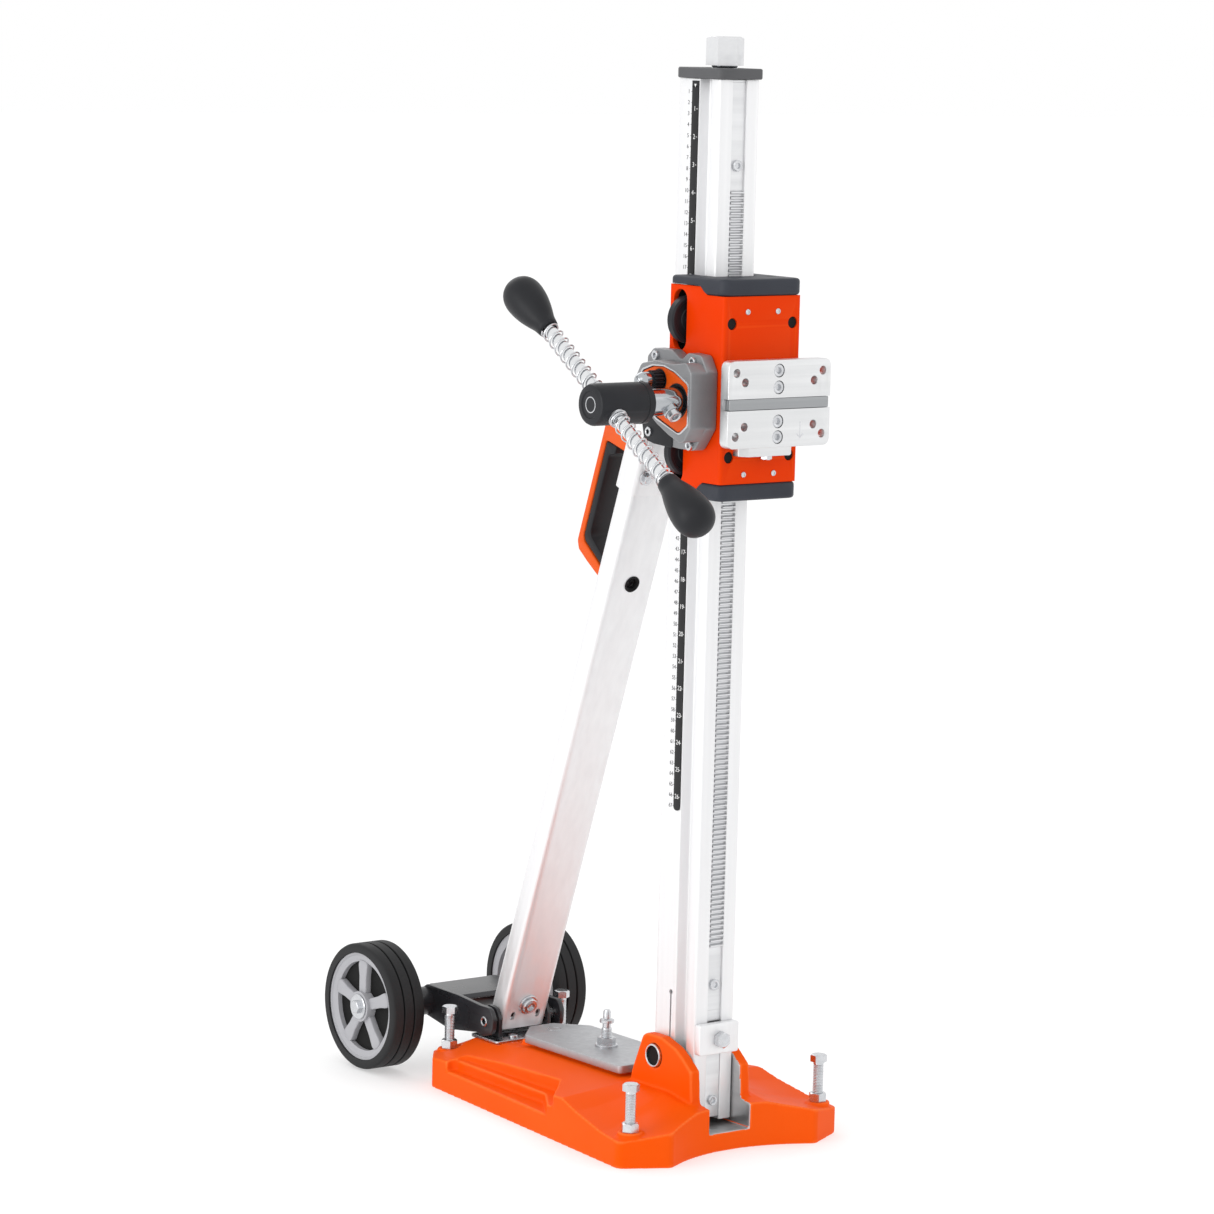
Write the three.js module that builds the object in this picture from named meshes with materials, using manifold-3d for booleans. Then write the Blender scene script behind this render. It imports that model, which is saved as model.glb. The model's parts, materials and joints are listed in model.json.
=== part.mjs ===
// Core drill rig: a tilting column on a cast base, with a rack-driven carriage.
// Millimetres, +Z up, -Y front (rack side), +Y back (wheels).
// The origin is the point of the floor under the column's centre line.

import * as THREE from 'three';
import { mergeVertices } from 'three/addons/utils/BufferGeometryUtils.js';
import Module from 'manifold-3d';

const wasm = await Module();
wasm.setup();

// ---------------------------------------------------------------- driving dimensions

const GAP = 0.3;                     // clearance between touching pieces
const DEG = Math.PI / 180;

const column = {
  halfWidth: 23, halfDepth: 30.5, bottom: 23, top: 988.6,
  trackFloor: 12.8, trackFrom: -18, trackTo: -0.6, trackFlank: 4,
  rackHalfWidth: 8.2, rackDepth: 11, slotHalfWidth: 6.2, wall: 4,
};
const tiltPivot = { y: 15, z: 80 };

const rack = {
  module: 1.5, halfWidth: 7.5, back: -19.8, pitchLine: -29.8,
  from: 182.5, teeth: 149, barFace: -28.2, bottom: 128, top: 986,
};
const pinion = { teeth: 20, halfWidth: 7.4 };
const feedAxis = { y: -45, z: 700.5 };

const reduction = { module: 1, wheelTeeth: 34, pinionTeeth: 28, y: -19, z: 717.46 };

const carriage = {
  halfWidth: 44.85, front: -72.3, back: 6.8, wall: 5, corner: 6,
  centre: 710.5, halfHeight: 92.3, frontHalfHeight: 85, capHalfHeight: 100.5,
};
const roller = { x: 35.1, y: -8.3, radius: 22, halfWidth: 4.8, spread: 60.4, bore: 6.2 };

const plate = { halfWidth: 59.3, halfHeight: 39.6, front: -100, back: -88, z: 700.4, corner: 8 };

const hub = { radius: 19, left: -173, right: -112, shaftRadius: 12.5, rodX: -154 };
const rod = { tilt: 34 * DEG, radius: 6, halfLength: 128, knobFrom: 108, knobTo: 174 };
const spring = { radius: 7.9, wire: 1.1, turns: 9.5, from: 20.6, to: 106.6 };

const base = {
  sideFrontY: -57, sideFront: 130, sideBackY: 290, sideBack: 94.3,
  footY: -81, footX: 85.5, hollowY: -56, backY: 314, backX: 76,
  deckHalfWidth: 42, slotHalfWidth: 23.5, slotFloor: 18, earThickness: 11.5,
};
const anchor = { y: 134, seat: 52.7, thickness: 8, halfWidth: 40, from: 60, to: 240 };

const levelling = [
  { tag: 'front_left', x: -111.45, y: -50.5, seat: 31.5 },
  { tag: 'front_right', x: 111.45, y: -50.5, seat: 31.5 },
  { tag: 'back_left', x: -68.1, y: 298.7, seat: 34.5 },
  { tag: 'back_right', x: 68.1, y: 298.7, seat: 34.5 },
];
const screw = { radius: 5, head: 8, headHeight: 7, top: 76.5, tip: 3, nut: 8.6, nutHeight: 8 };

const strut = {
  footY: 275.5, footZ: 62, headY: 62, headZ: 676,
  halfWidth: 27, front: -7, back: 16, corner: 6, wall: 3, from: -8, to: 596,
  lockHole: 478, boltAt: 18, pinRadius: 5,
};
const wheel = { y: 384.7, z: 64.6, radius: 62.6, inner: 81.2, outer: 117.7, rimRadius: 53.5 };

// ---------------------------------------------------------------- finishes

const finish = (color, roughness, metalness) =>
  new THREE.MeshStandardMaterial({ color, roughness, metalness });

const finishes = {
  orange: finish(0xe8500f, 0.38, 0.0),
  orangePlastic: finish(0xf0581a, 0.5, 0.0),
  aluminium: finish(0xe4e6e8, 0.35, 0.9),
  steel: finish(0xb9bcc0, 0.3, 1.0),
  chrome: finish(0xd9dcdf, 0.12, 1.0),
  darkSteel: finish(0x6e7276, 0.45, 0.9),
  castGrey: finish(0x8a8d90, 0.5, 0.6),
  capGrey: finish(0x4b4f56, 0.6, 0.0),
  black: finish(0x1c1e21, 0.55, 0.0),
  blackSteel: finish(0x202327, 0.4, 0.3),
  rubber: finish(0x17181a, 0.8, 0.0),
};

// ---------------------------------------------------------------- geometry helpers

function merged(geometry) {
  const plain = geometry.clone();
  plain.deleteAttribute('normal');
  plain.deleteAttribute('uv');
  return mergeVertices(plain, 1e-4);
}

function toSolid(geometry) {
  const clean = merged(geometry);
  return new wasm.Manifold(new wasm.Mesh({
    numProp: 3,
    vertProperties: new Float32Array(clean.attributes.position.array),
    triVerts: new Uint32Array(clean.index.array),
  }));
}

function toGeometry(solid) {
  const mesh = solid.getMesh();
  const geometry = new THREE.BufferGeometry();
  geometry.setAttribute('position', new THREE.BufferAttribute(mesh.vertProperties, 3));
  geometry.setIndex(new THREE.BufferAttribute(mesh.triVerts, 1));
  return geometry;
}

const join = (...geometries) =>
  toGeometry(geometries.map(toSolid).reduce((sum, next) => sum.add(next)));

const cut = (body, ...tools) =>
  toGeometry(tools.map(toSolid).reduce((rest, tool) => rest.subtract(tool), toSolid(body)));

const common = (a, b) => toGeometry(toSolid(a).intersect(toSolid(b)));

function outline(points, holes = []) {
  const shape = new THREE.Shape(points.map(([a, b]) => new THREE.Vector2(a, b)));
  for (const hole of holes) {
    shape.holes.push(new THREE.Path(hole.map(([a, b]) => new THREE.Vector2(a, b))));
  }
  return shape;
}

function extrude(points, depth, holes) {
  return new THREE.ExtrudeGeometry(outline(points, holes), { depth, bevelEnabled: false });
}

const AXES = {
  x: new THREE.Matrix4().set(0, 0, 1, 0, 1, 0, 0, 0, 0, 1, 0, 0, 0, 0, 0, 1),
  y: new THREE.Matrix4().set(1, 0, 0, 0, 0, 0, -1, 0, 0, 1, 0, 0, 0, 0, 0, 1),
};

// Prisms: an outline in the plane across an axis, from one place on it to another.
const prismZ = (points, low, high, holes) =>
  extrude(points, high - low, holes).translate(0, 0, low);
const prismX = (points, low, high, holes) =>
  extrude(points, high - low, holes).applyMatrix4(AXES.x).translate(low, 0, 0);
const prismY = (points, low, high, holes) =>
  extrude(points, high - low, holes).applyMatrix4(AXES.y).translate(0, high, 0);

const block = (x0, x1, y0, y1, z0, z1) =>
  new THREE.BoxGeometry(x1 - x0, y1 - y0, z1 - z0)
    .translate((x0 + x1) / 2, (y0 + y1) / 2, (z0 + z1) / 2);

function circle(a, b, radius, sides = 24, turn = 0) {
  return Array.from({ length: sides }, (_, i) => {
    const angle = turn + (2 * Math.PI * i) / sides;
    return [a + radius * Math.cos(angle), b + radius * Math.sin(angle)];
  });
}

function roundedRectangle(a, b, halfA, halfB, radius, steps = 3) {
  const points = [];
  const corners = [[1, 1], [-1, 1], [-1, -1], [1, -1]];
  corners.forEach(([sa, sb], quarter) => {
    for (let i = 0; i <= steps; i += 1) {
      const angle = (quarter + i / steps) * Math.PI / 2;
      points.push([
        a + sa * (halfA - radius) + radius * Math.cos(angle),
        b + sb * (halfB - radius) + radius * Math.sin(angle),
      ]);
    }
  });
  return points;
}

// A slot with round ends that runs along the second direction.
function obround(a, low, high, radius, steps = 8) {
  const points = [];
  for (let i = 0; i <= steps; i += 1) {
    const angle = Math.PI * i / steps;
    points.push([a + radius * Math.cos(angle), high - radius + radius * Math.sin(angle)]);
  }
  for (let i = 0; i <= steps; i += 1) {
    const angle = Math.PI * (1 + i / steps);
    points.push([a + radius * Math.cos(angle), low + radius + radius * Math.sin(angle)]);
  }
  return points;
}

// A turned piece: [radius, place along the axis] from end to end, on the axis at both ends.
function turned(profile, sides = 24) {
  return new THREE.LatheGeometry(profile.map(([r, h]) => new THREE.Vector2(r, h)), sides)
    .rotateX(Math.PI / 2);
}
const turnedX = (profile, y, z, sides) =>
  turned(profile, sides).rotateY(Math.PI / 2).translate(0, y, z);
const turnedY = (profile, x, z, sides) =>
  turned(profile, sides).rotateX(-Math.PI / 2).translate(x, 0, z);
const turnedZ = (profile, x, y, sides) => turned(profile, sides).translate(x, y, 0);

const bar = (radius, low, high) => [[0, low], [radius, low], [radius, high], [0, high]];

const interpolate = (table, at) => {
  const last = table.length - 1;
  if (at <= table[0][0]) {
    return table[0][1];
  }
  for (let i = 0; i < last; i += 1) {
    const [a, va] = table[i];
    const [b, vb] = table[i + 1];
    if (at <= b) {
      return va + (vb - va) * (at - a) / (b - a);
    }
  }
  return table[last][1];
};

const mirrorX = (points) => points.map(([x, y]) => [-x, y]).reverse();

// ---------------------------------------------------------------- the assembly

const rig = new THREE.Group();

function addPart(name, geometry, material) {
  const mesh = new THREE.Mesh(geometry, material);
  mesh.name = name;
  rig.add(mesh);
}

// ---------------------------------------------------------------- base casting

const sideHalfWidth = (y) =>
  base.sideFront + (base.sideBack - base.sideFront)
    * (y - base.sideFrontY) / (base.sideBackY - base.sideFrontY);

const DECK_HEIGHT = [[-57, 42], [-45, 44], [-10, 50], [200, 50], [255, 45], [290, 43.5], [316, 32]];
const EDGE_HEIGHT = [[-57, 25], [-25, 28], [20, 37], [45, 44], [262, 31], [290, 29], [316, 28]];
const HOLLOWNESS = [[-57, 1.2], [-20, 2], [20, 1.8], [45, 1]];
const STATIONS = [-95, -57, -40, -22, -5, 15, 45, 90, 140, 200, 235, 262, 290, 330];
const SIDE_STEPS = [0, 0.15, 0.33, 0.55, 0.78, 1];

function surfaceHeight(x, y) {
  const across = Math.abs(x);
  const deck = interpolate(DECK_HEIGHT, y);
  const edge = interpolate(EDGE_HEIGHT, y);
  const reach = (across - base.deckHalfWidth) / (sideHalfWidth(y) - base.deckHalfWidth);
  const rise = Math.max(0, Math.min(1, 1 - reach)) ** interpolate(HOLLOWNESS, y);
  return edge + (deck - edge) * rise;
}

// The casting's top skin: one cross-section at each station, joined along the base.
function humpGeometry() {
  const sections = STATIONS.map((y) => {
    const edge = sideHalfWidth(y) + 2;
    const half = SIDE_STEPS.map((step) =>
      base.deckHalfWidth + step * (edge - base.deckHalfWidth));
    const xs = [...half.slice().reverse(), 0, ...half.map((x) => -x)];
    return [[-edge, 0], [edge, 0], ...xs.map((x) => [x, surfaceHeight(x, y)])]
      .map(([x, z]) => [x, y, z]);
  });
  const count = sections[0].length;
  const triangles = [];
  for (let s = 0; s < sections.length - 1; s += 1) {
    for (let i = 0; i < count; i += 1) {
      const j = (i + 1) % count;
      const [a, b] = [s * count + i, s * count + j];
      const [c, d] = [a + count, b + count];
      triangles.push(a, b, d, a, d, c);
    }
  }
  const lastRow = (sections.length - 1) * count;
  for (let i = 1; i < count - 1; i += 1) {
    triangles.push(0, i + 1, i);
    triangles.push(lastRow, lastRow + i, lastRow + i + 1);
  }
  const geometry = new THREE.BufferGeometry();
  geometry.setAttribute('position', new THREE.Float32BufferAttribute(sections.flat(2), 3));
  geometry.setIndex(triangles);
  const flipped = geometry.index.array;
  for (let i = 0; i < flipped.length; i += 3) {
    [flipped[i + 1], flipped[i + 2]] = [flipped[i + 2], flipped[i + 1]];
  }
  return geometry;
}

function baseOutline() {
  const right = [
    [base.footX, base.footY], [base.sideFront - 3, base.sideFrontY - 3],
    [base.sideFront, base.sideFrontY + 3],
    [base.sideBack, base.sideBackY], [base.backX, base.backY],
  ];
  const front = [];
  const steps = 8;
  for (let i = 1; i < steps; i += 1) {
    const x = -base.footX + (2 * base.footX * i) / steps;
    front.push([x, base.hollowY + (base.footY - base.hollowY) * (x / base.footX) ** 2]);
  }
  return [...right, ...mirrorX(right), ...front];
}

// The stepped recess along each side: a high ledge, then a low one that opens outwards.
function sideRecess(side) {
  const edge = (y, inset) => [side * (sideHalfWidth(y) - inset), y];
  const ledge = (from, to, insetBack, insetFront) => {
    const points = [edge(to, insetBack), edge(from + 50, insetFront), edge(from, -6), edge(to, -6)];
    return side > 0 ? points.reverse() : points;
  };
  return [
    prismZ(ledge(50, 259, 20, 34), 32, 80),
    prismZ(ledge(56, 262, 11, 20), 22, 80),
  ];
}

const EAR_PROFILE = [
  [-44.3, 30], [-41, 75], [-27, 86], [-17, 92.5], [5, 99.3], [28, 99], [33, 96], [49, 59], [53, 30],
];

function undersideBays() {
  const bays = [];
  for (const [from, to] of [[72, 146], [154, 226], [234, 300]]) {
    const inner = 16;
    const points = [
      [inner, from], [sideHalfWidth(from) - 30, from],
      [sideHalfWidth(to) - 28, to], [inner, to],
    ];
    bays.push(prismZ(points, -1, 30), prismZ(mirrorX(points), -1, 30));
  }
  const arm = [[44, -44], [82, -66], [118, -50], [106, 56], [44, 56]];
  bays.push(prismZ(arm, -1, 16), prismZ(mirrorX(arm), -1, 16));
  return bays;
}

function baseCasting() {
  const ear = (x0, x1) => prismX(EAR_PROFILE, x0, x1);
  const inner = base.slotHalfWidth;
  const outer = inner + base.earThickness;
  const bosses = levelling.map(({ x, y, seat }) =>
    prismZ(circle(x, y, 11.5, 16), 10, seat));
  const land = prismZ(roundedRectangle(0, (66 + 230) / 2, 33, (230 - 66) / 2, 8), 40, anchor.seat);
  const body = join(
    common(humpGeometry(), prismZ(baseOutline(), 0, 120)),
    ear(-outer, -inner), ear(inner, outer), land, ...bosses,
  );
  const threads = levelling.flatMap(({ x, y, seat }) => [
    prismZ(circle(x, y, screw.radius + 0.2, 12), -1, 60),
    prismZ(circle(x, y, 12, 16), seat, 90),
  ]);
  const anchorSlot = prismZ(obround(0, 84, 226, 9), -1, 80);
  const columnSlot = prismX(
    [[-110, base.slotFloor], [38, base.slotFloor], [50, 44], [50, 130], [-110, 130]],
    -inner, inner,
  );
  const strutSeat = block(-46, 46, 246, 300, 43, 80);
  const pivotBore = prismX(circle(tiltPivot.y, tiltPivot.z, 11.3, 24), -60, 60);
  return cut(
    body, columnSlot, anchorSlot, strutSeat, pivotBore, ...threads,
    ...sideRecess(1), ...sideRecess(-1), ...undersideBays(),
  );
}

addPart('base_casting', baseCasting(), finishes.orange);

addPart('pivot_tube', turnedX([
  [8, -37], [11, -37], [11, 37], [8, 37], [8, -37],
], tiltPivot.y, tiltPivot.z, 24), finishes.steel);

// ---------------------------------------------------------------- levelling screws

for (const { tag, x, y, seat } of levelling) {
  const underHead = screw.top - screw.headHeight;
  addPart(`levelling_screw_${tag}`, join(
    prismZ(circle(x, y, screw.head, 6, Math.PI / 6), underHead, screw.top),
    turnedZ(bar(screw.radius, screw.tip, underHead + 1), x, y, 12),
  ), finishes.steel);
  addPart(`lock_nut_${tag}`, prismZ(
    circle(x, y, screw.nut, 6), seat + GAP, seat + GAP + screw.nutHeight,
    [circle(x, y, screw.radius + GAP, 12)],
  ), finishes.steel);
}

// ---------------------------------------------------------------- anchor plate and stud

function anchorPlate() {
  const { halfWidth: w, from, to } = anchor;
  const points = [[w - 5, from], [w, from + 5], [w, to - 28], [14, to], [-14, to], [-w, to - 28],
    [-w, from + 5], [-w + 5, from]];
  return prismZ(points, anchor.seat + GAP, anchor.seat + GAP + anchor.thickness,
    [circle(0, anchor.y, 8, 16)]);
}
const anchorTop = anchor.seat + GAP + anchor.thickness;

addPart('anchor_plate', anchorPlate(), finishes.darkSteel);
addPart('anchor_nut', prismZ(
  circle(0, anchor.y, 9, 6), anchorTop + GAP, anchorTop + 9, [circle(0, anchor.y, 5.4, 12)],
), finishes.steel);
addPart('anchor_stud', turnedZ([
  [0, 4], [6.4, 4], [6.4, 12], [5, 14], [5, 78], [4, 79], [4, 84], [7, 84], [7, 87], [3.6, 88],
  [3.6, 95], [2.6, 96.5], [0, 96.5],
], 0, anchor.y, 12), finishes.steel);

// ---------------------------------------------------------------- column

function columnSection() {
  const { halfWidth: w, halfDepth: d, trackFloor: f, trackFrom, trackTo, trackFlank } = column;
  const { rackHalfWidth: rw, rackDepth, slotHalfWidth: sw, wall } = column;
  const r = 3;
  const right = [
    [rw, -d + rackDepth], [rw, -d], [w - r, -d], [w - 0.3 * r, -d + 0.3 * r], [w, -d + r],
    [w, trackFrom], [f, trackFrom + trackFlank], [f, trackTo - trackFlank / 2], [w, trackTo],
    [w, d - r], [w - 0.3 * r, d - 0.3 * r], [w - r, d],
    [sw, d], [sw, d - wall], [11, d - wall], [11, d - wall - 6],
  ];
  return [...right, ...mirrorX(right)];
}

const CHAMBER = [[18.5, 3], [18.5, 17], [-18.5, 17], [-18.5, 3]];

function columnProfile() {
  const slit = (side) => join(
    block(side > 0 ? 14 : -30, side > 0 ? 30 : -14, 5.6, 7.8, 20, 141),
    prismX(circle(6.7, 141, 2.4, 12), side > 0 ? 14 : -30, side > 0 ? 30 : -14),
  );
  return cut(
    prismZ(columnSection(), column.bottom, column.top, [CHAMBER]),
    prismX(circle(tiltPivot.y, tiltPivot.z, 11.3, 24), -40, 40), slit(1), slit(-1),
  );
}

addPart('column_profile', columnProfile(), finishes.aluminium);

// The rack: a bar with straight-flanked teeth between its plain ends.
function rackOutline() {
  const pitch = Math.PI * rack.module;
  const tip = rack.pitchLine - rack.module;
  const root = rack.pitchLine + 1.25 * rack.module;
  const slope = Math.tan(20 * DEG);
  const halfPitchTooth = 0.23 * pitch;
  const tipHalf = halfPitchTooth - slope * rack.module;
  const rootHalf = halfPitchTooth + slope * 1.25 * rack.module;
  const points = [[rack.back, rack.bottom], [rack.back, rack.top], [rack.barFace, rack.top]];
  const first = feedAxis.z + pitch / 2 - pitch * Math.floor((feedAxis.z - rack.from) / pitch);
  points.push([rack.barFace, first + (rack.teeth - 0.5) * pitch], [root, first + (rack.teeth - 0.5) * pitch]);
  for (let i = rack.teeth - 1; i >= 0; i -= 1) {
    const z = first + i * pitch;
    points.push([root, z + rootHalf], [tip, z + tipHalf], [tip, z - tipHalf], [root, z - rootHalf]);
  }
  points.push([root, first - pitch / 2], [rack.barFace, first - pitch / 2], [rack.barFace, rack.bottom]);
  return points;
}

addPart('gear_rack', prismX(rackOutline(), -rack.halfWidth, rack.halfWidth), finishes.darkSteel);

addPart('stop_block', cut(
  block(-23, 23, -38.6, -30.8, 88, 117),
  prismY(circle(0.8, 102, 4.2, 12), -45, -20),
), finishes.aluminium);
addPart('stop_bolt', join(
  prismY(circle(0.8, 102, 8, 6), -45.5, -38.9),
  turnedY(bar(3.9, -39.4, -24), 0.8, 102, 12),
), finishes.steel);

addPart('scale_strip', prismX(
  [...obround(4.6, 313, 982, 4.7, 5)], -column.halfWidth - GAP - 0.8, -column.halfWidth - GAP,
), finishes.black);

// ---------------------------------------------------------------- column cap and jack screw

const CAP_TOP = 998.7;
addPart('column_cap', cut(
  prismZ(roundedRectangle(0, -1, 26, 33, 7), column.top + GAP, CAP_TOP),
  prismZ(circle(0, -7, 12.4, 20), 980, 1010),
), finishes.capGrey);
addPart('jack_screw', join(
  prismZ(circle(0, -7, 17.5, 6, Math.PI / 6), 1001, 1027.2),
  turnedZ(bar(12, column.top + GAP, 1003), 0, -7, 20),
), finishes.chrome);

// ---------------------------------------------------------------- carriage

function carriageHousing() {
  const c = carriage;
  const outer = roundedRectangle(0, (c.front + c.back) / 2, c.halfWidth, (c.back - c.front) / 2,
    c.corner);
  const [low, high] = [c.centre - c.halfHeight, c.centre + c.halfHeight];
  const shell = prismZ(outer, low, high);
  const hollow = block(-c.halfWidth + c.wall, c.halfWidth - c.wall, c.front + c.wall, c.back + 20,
    low - 5, high + 5);
  const squareBack = [-1, 1].map((side) => block(
    Math.min(side * c.halfWidth, side * (c.halfWidth - c.wall)),
    Math.max(side * c.halfWidth, side * (c.halfWidth - c.wall)), c.back - c.corner - 2, c.back, low, high,
  ));
  const step = (sign) => prismX([
    [-120, c.centre + sign * c.frontHalfHeight], [-47, c.centre + sign * c.frontHalfHeight],
    [-38, c.centre + sign * (c.halfHeight + 0.5)], [-38, c.centre + sign * 110],
    [-120, c.centre + sign * 110],
  ], -80, 80);
  const rollerSlots = [-1, 1].map((sign) => {
    const z = c.centre + sign * roller.spread;
    return prismX(obround(roller.y, z - 28, z + 28, 9.7), -80, 80);
  });
  const axleBores = [-1, 1].flatMap((sign) => [-1, 1].map((side) => prismY(
    circle(side * roller.x, c.centre + sign * roller.spread, 5.4, 12), c.front - 5, c.front + 12,
  )));
  const shaftWindow = prismX(circle(feedAxis.y, feedAxis.z, 17.5, 24), -60, -20);
  const farBearing = prismX(circle(feedAxis.y, feedAxis.z, 8.2, 20), 20, 60);
  const gearWindow = prismX(circle(reduction.y, reduction.z, 9, 16), -60, -20);
  return cut(
    join(cut(shell, hollow), ...squareBack), step(1), step(-1), ...rollerSlots, ...axleBores,
    shaftWindow, farBearing, gearWindow,
  );
}

addPart('carriage_housing', carriageHousing(), finishes.orange);

// The end caps: a frame-shaped lid with the column's outline cut out of it.
function carriageCap(sign) {
  const c = carriage;
  const span = (a, b) => [c.centre + sign * a, c.centre + sign * b].sort((p, q) => p - q);
  const outer = roundedRectangle(0, (c.front - 1.4 + c.back) / 2, c.halfWidth + 1.2,
    (c.back + 1.4 - c.front) / 2, c.corner + 1);
  const lid = prismZ(outer, ...span(c.frontHalfHeight + GAP, c.capHalfHeight));
  const seat = prismX([
    [-46.8, c.centre + sign * 60], [-46.8, c.centre + sign * (c.frontHalfHeight + GAP)],
    [-37.8, c.centre + sign * (c.halfHeight + GAP + 0.5)], [40, c.centre + sign * (c.halfHeight + GAP + 0.5)],
    [40, c.centre + sign * 60],
  ], -80, 80);
  const passage = block(-24.6, 24.6, -33, 40, ...span(70, 120));
  return cut(lid, seat, passage);
}

addPart('carriage_cap_top', carriageCap(1), finishes.capGrey);
addPart('carriage_cap_bottom', carriageCap(-1), finishes.capGrey);

for (const [side, tagX] of [[-1, 'left'], [1, 'right']]) {
  for (const [sign, tagZ] of [[1, 'upper'], [-1, 'lower']]) {
    const z = carriage.centre + sign * roller.spread;
    const { y, halfWidth: h, radius: r, bore } = roller;
    addPart(`guide_roller_${tagZ}_${tagX}`, turnedY([
      [bore, y - h], [r - 2, y - h], [r, y - h + 2], [r, y + h - 2], [r - 2, y + h],
      [bore, y + h], [bore, y - h],
    ], side * roller.x, z, 24), finishes.black);
    addPart(`roller_axle_${tagZ}_${tagX}`, turnedY([
      [0, carriage.front + 2], [4.5, carriage.front + 2], [4.5, y - h - 3], [5.8, y - h - 3],
      [5.8, y + h + 3], [0, y + h + 3],
    ], side * roller.x, z, 12), finishes.darkSteel);
  }
}

// ---------------------------------------------------------------- feed gears

// A straight-flanked gear outline about a point in the YZ plane.
function gearOutline(y, z, module, teeth, addendum, share, turn) {
  const points = [];
  const pitchRadius = module * teeth / 2;
  const pitchAngle = 2 * Math.PI / teeth;
  const flank = Math.tan(20 * DEG);
  for (let i = 0; i < teeth; i += 1) {
    const centre = turn + i * pitchAngle;
    const offsets = [
      [pitchRadius - 1.25 * module, share * pitchAngle / 2 + flank * 1.25 * module / pitchRadius * 0.6],
      [pitchRadius + addendum * module, share * pitchAngle / 2 - flank * addendum * module / pitchRadius],
    ];
    const [[rootR, rootA], [tipR, tipA]] = offsets;
    for (const [radius, angle] of [[rootR, -rootA], [tipR, -tipA], [tipR, tipA], [rootR, rootA]]) {
      points.push([y + radius * Math.cos(centre + angle), z + radius * Math.sin(centre + angle)]);
    }
  }
  return points;
}

const toReduction = Math.atan2(reduction.z - feedAxis.z, reduction.y - feedAxis.y);

function feedShaft() {
  return join(
    turnedX([
      [0, -129], [11.5, -129], [hub.shaftRadius, -128], [hub.shaftRadius, -66.6], [15.5, -66.6],
      [15.5, -64.6], [8, -64.6], [8, 44.4], [0, 44.4],
    ], feedAxis.y, feedAxis.z, 20),
    prismX(gearOutline(feedAxis.y, feedAxis.z, rack.module, pinion.teeth, 0.9, 0.44, 0),
      -pinion.halfWidth, pinion.halfWidth),
  );
}

addPart('feed_shaft', feedShaft(), finishes.chrome);
addPart('reduction_wheel', prismX(
  gearOutline(feedAxis.y, feedAxis.z, reduction.module, reduction.wheelTeeth, 0.85, 0.42, toReduction),
  -58, -50.4, [circle(feedAxis.y, feedAxis.z, 8.4, 16)],
), finishes.darkSteel);

function reductionShaft() {
  const { y, z, module, pinionTeeth } = reduction;
  const turn = toReduction + Math.PI + Math.PI / pinionTeeth;
  return join(
    turnedX([
      [0, -102], [4, -101.3], [7, -98], [8, -94], [8, -89], [5.5, -88], [5.5, -86], [9.4, -86],
      [9.4, -72], [6, -72], [6, -59.5], [4.5, -59.5], [4.5, -38], [0, -38],
    ], y, z, 14),
    prismX(gearOutline(y, z, module, pinionTeeth, 0.85, 0.42, turn), -58, -50.4),
  );
}

addPart('reduction_shaft', reductionShaft(), finishes.chrome);

// ---------------------------------------------------------------- gear housing

const FLANGE = [
  [-66, 676], [-66, 728], [-57, 742], [-38, 743], [-28, 736], [-14, 744], [13, 744], [22, 736],
  [22, 688], [26, 676], [22, 660], [8, 657], [-28, 655], [-50, 655],
];
const BOSS = [
  [-66, 677], [-66, 727], [-58, 736], [-38, 733], [-12, 735], [8, 731], [15, 720], [13, 706],
  [4, 692], [-16, 678], [-34, 669], [-50, 663], [-57, 664],
];
const INSERT = [
  [-62, 680], [-62, 716], [-42, 726], [-26, 730.5], [-10, 730], [5, 725], [10, 714], [1, 697],
  [-17, 683], [-50, 671],
];
const housingFaces = { seat: -45.2, flange: -58, outer: -76, insertFront: -75.4, insertBack: -70.4 };

function gearHousing() {
  const { seat, flange, outer, insertBack } = housingFaces;
  const feed = (r, sides) => circle(feedAxis.y, feedAxis.z, r, sides);
  const fast = (r, sides) => circle(reduction.y, reduction.z, r, sides);
  return cut(
    join(prismX(FLANGE, flange, seat), prismX(BOSS, outer, flange + 1)),
    prismX(feed(18.6, 32), -60, seat + 1),
    prismX(fast(15.6, 28), -60, seat + 1),
    prismX(feed(16, 24), -67.4, -55),
    prismX(feed(13, 24), -80, -55),
    prismX(fast(6.4, 16), -80, -55),
    prismX(INSERT, outer - 1, insertBack + GAP),
    turnedY(bar(roller.radius + 0.8, roller.y - 6.5, roller.y + 6.5), -roller.x,
      carriage.centre - roller.spread, 32),
  );
}

function gearCover() {
  const { insertFront, insertBack } = housingFaces;
  const inset = INSERT.map(([y, z]) => [y + (y < -25 ? 0.6 : -0.6), z + (z < 700 ? 0.6 : -0.6)]);
  return prismX(inset, insertFront, insertBack,
    [circle(feedAxis.y, feedAxis.z, 14.6, 24), circle(reduction.y, reduction.z, 10.2, 20)]);
}

addPart('gear_housing', gearHousing(), finishes.castGrey);
addPart('gear_cover', gearCover(), finishes.orangePlastic);

// ---------------------------------------------------------------- feed handle

// A piece turned about the handle rod's axis, which crosses the hub at a slant.
const alongRod = (geometry) =>
  geometry.rotateX(-(Math.PI / 2 - rod.tilt)).translate(hub.rodX, feedAxis.y, feedAxis.z);

function feedHub() {
  const r = hub.radius;
  return cut(
    turnedX([
      [0, hub.left], [r - 3, hub.left], [r - 0.8, hub.left + 1], [r, hub.left + 3.4],
      [r, hub.right - 1.5], [r - 1.5, hub.right], [0, hub.right],
    ], feedAxis.y, feedAxis.z, 24),
    turnedX(bar(hub.shaftRadius + GAP, -129.4, hub.right + 10), feedAxis.y, feedAxis.z, 20),
    alongRod(turned(bar(rod.radius + GAP, -60, 60), 16)),
  );
}

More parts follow.
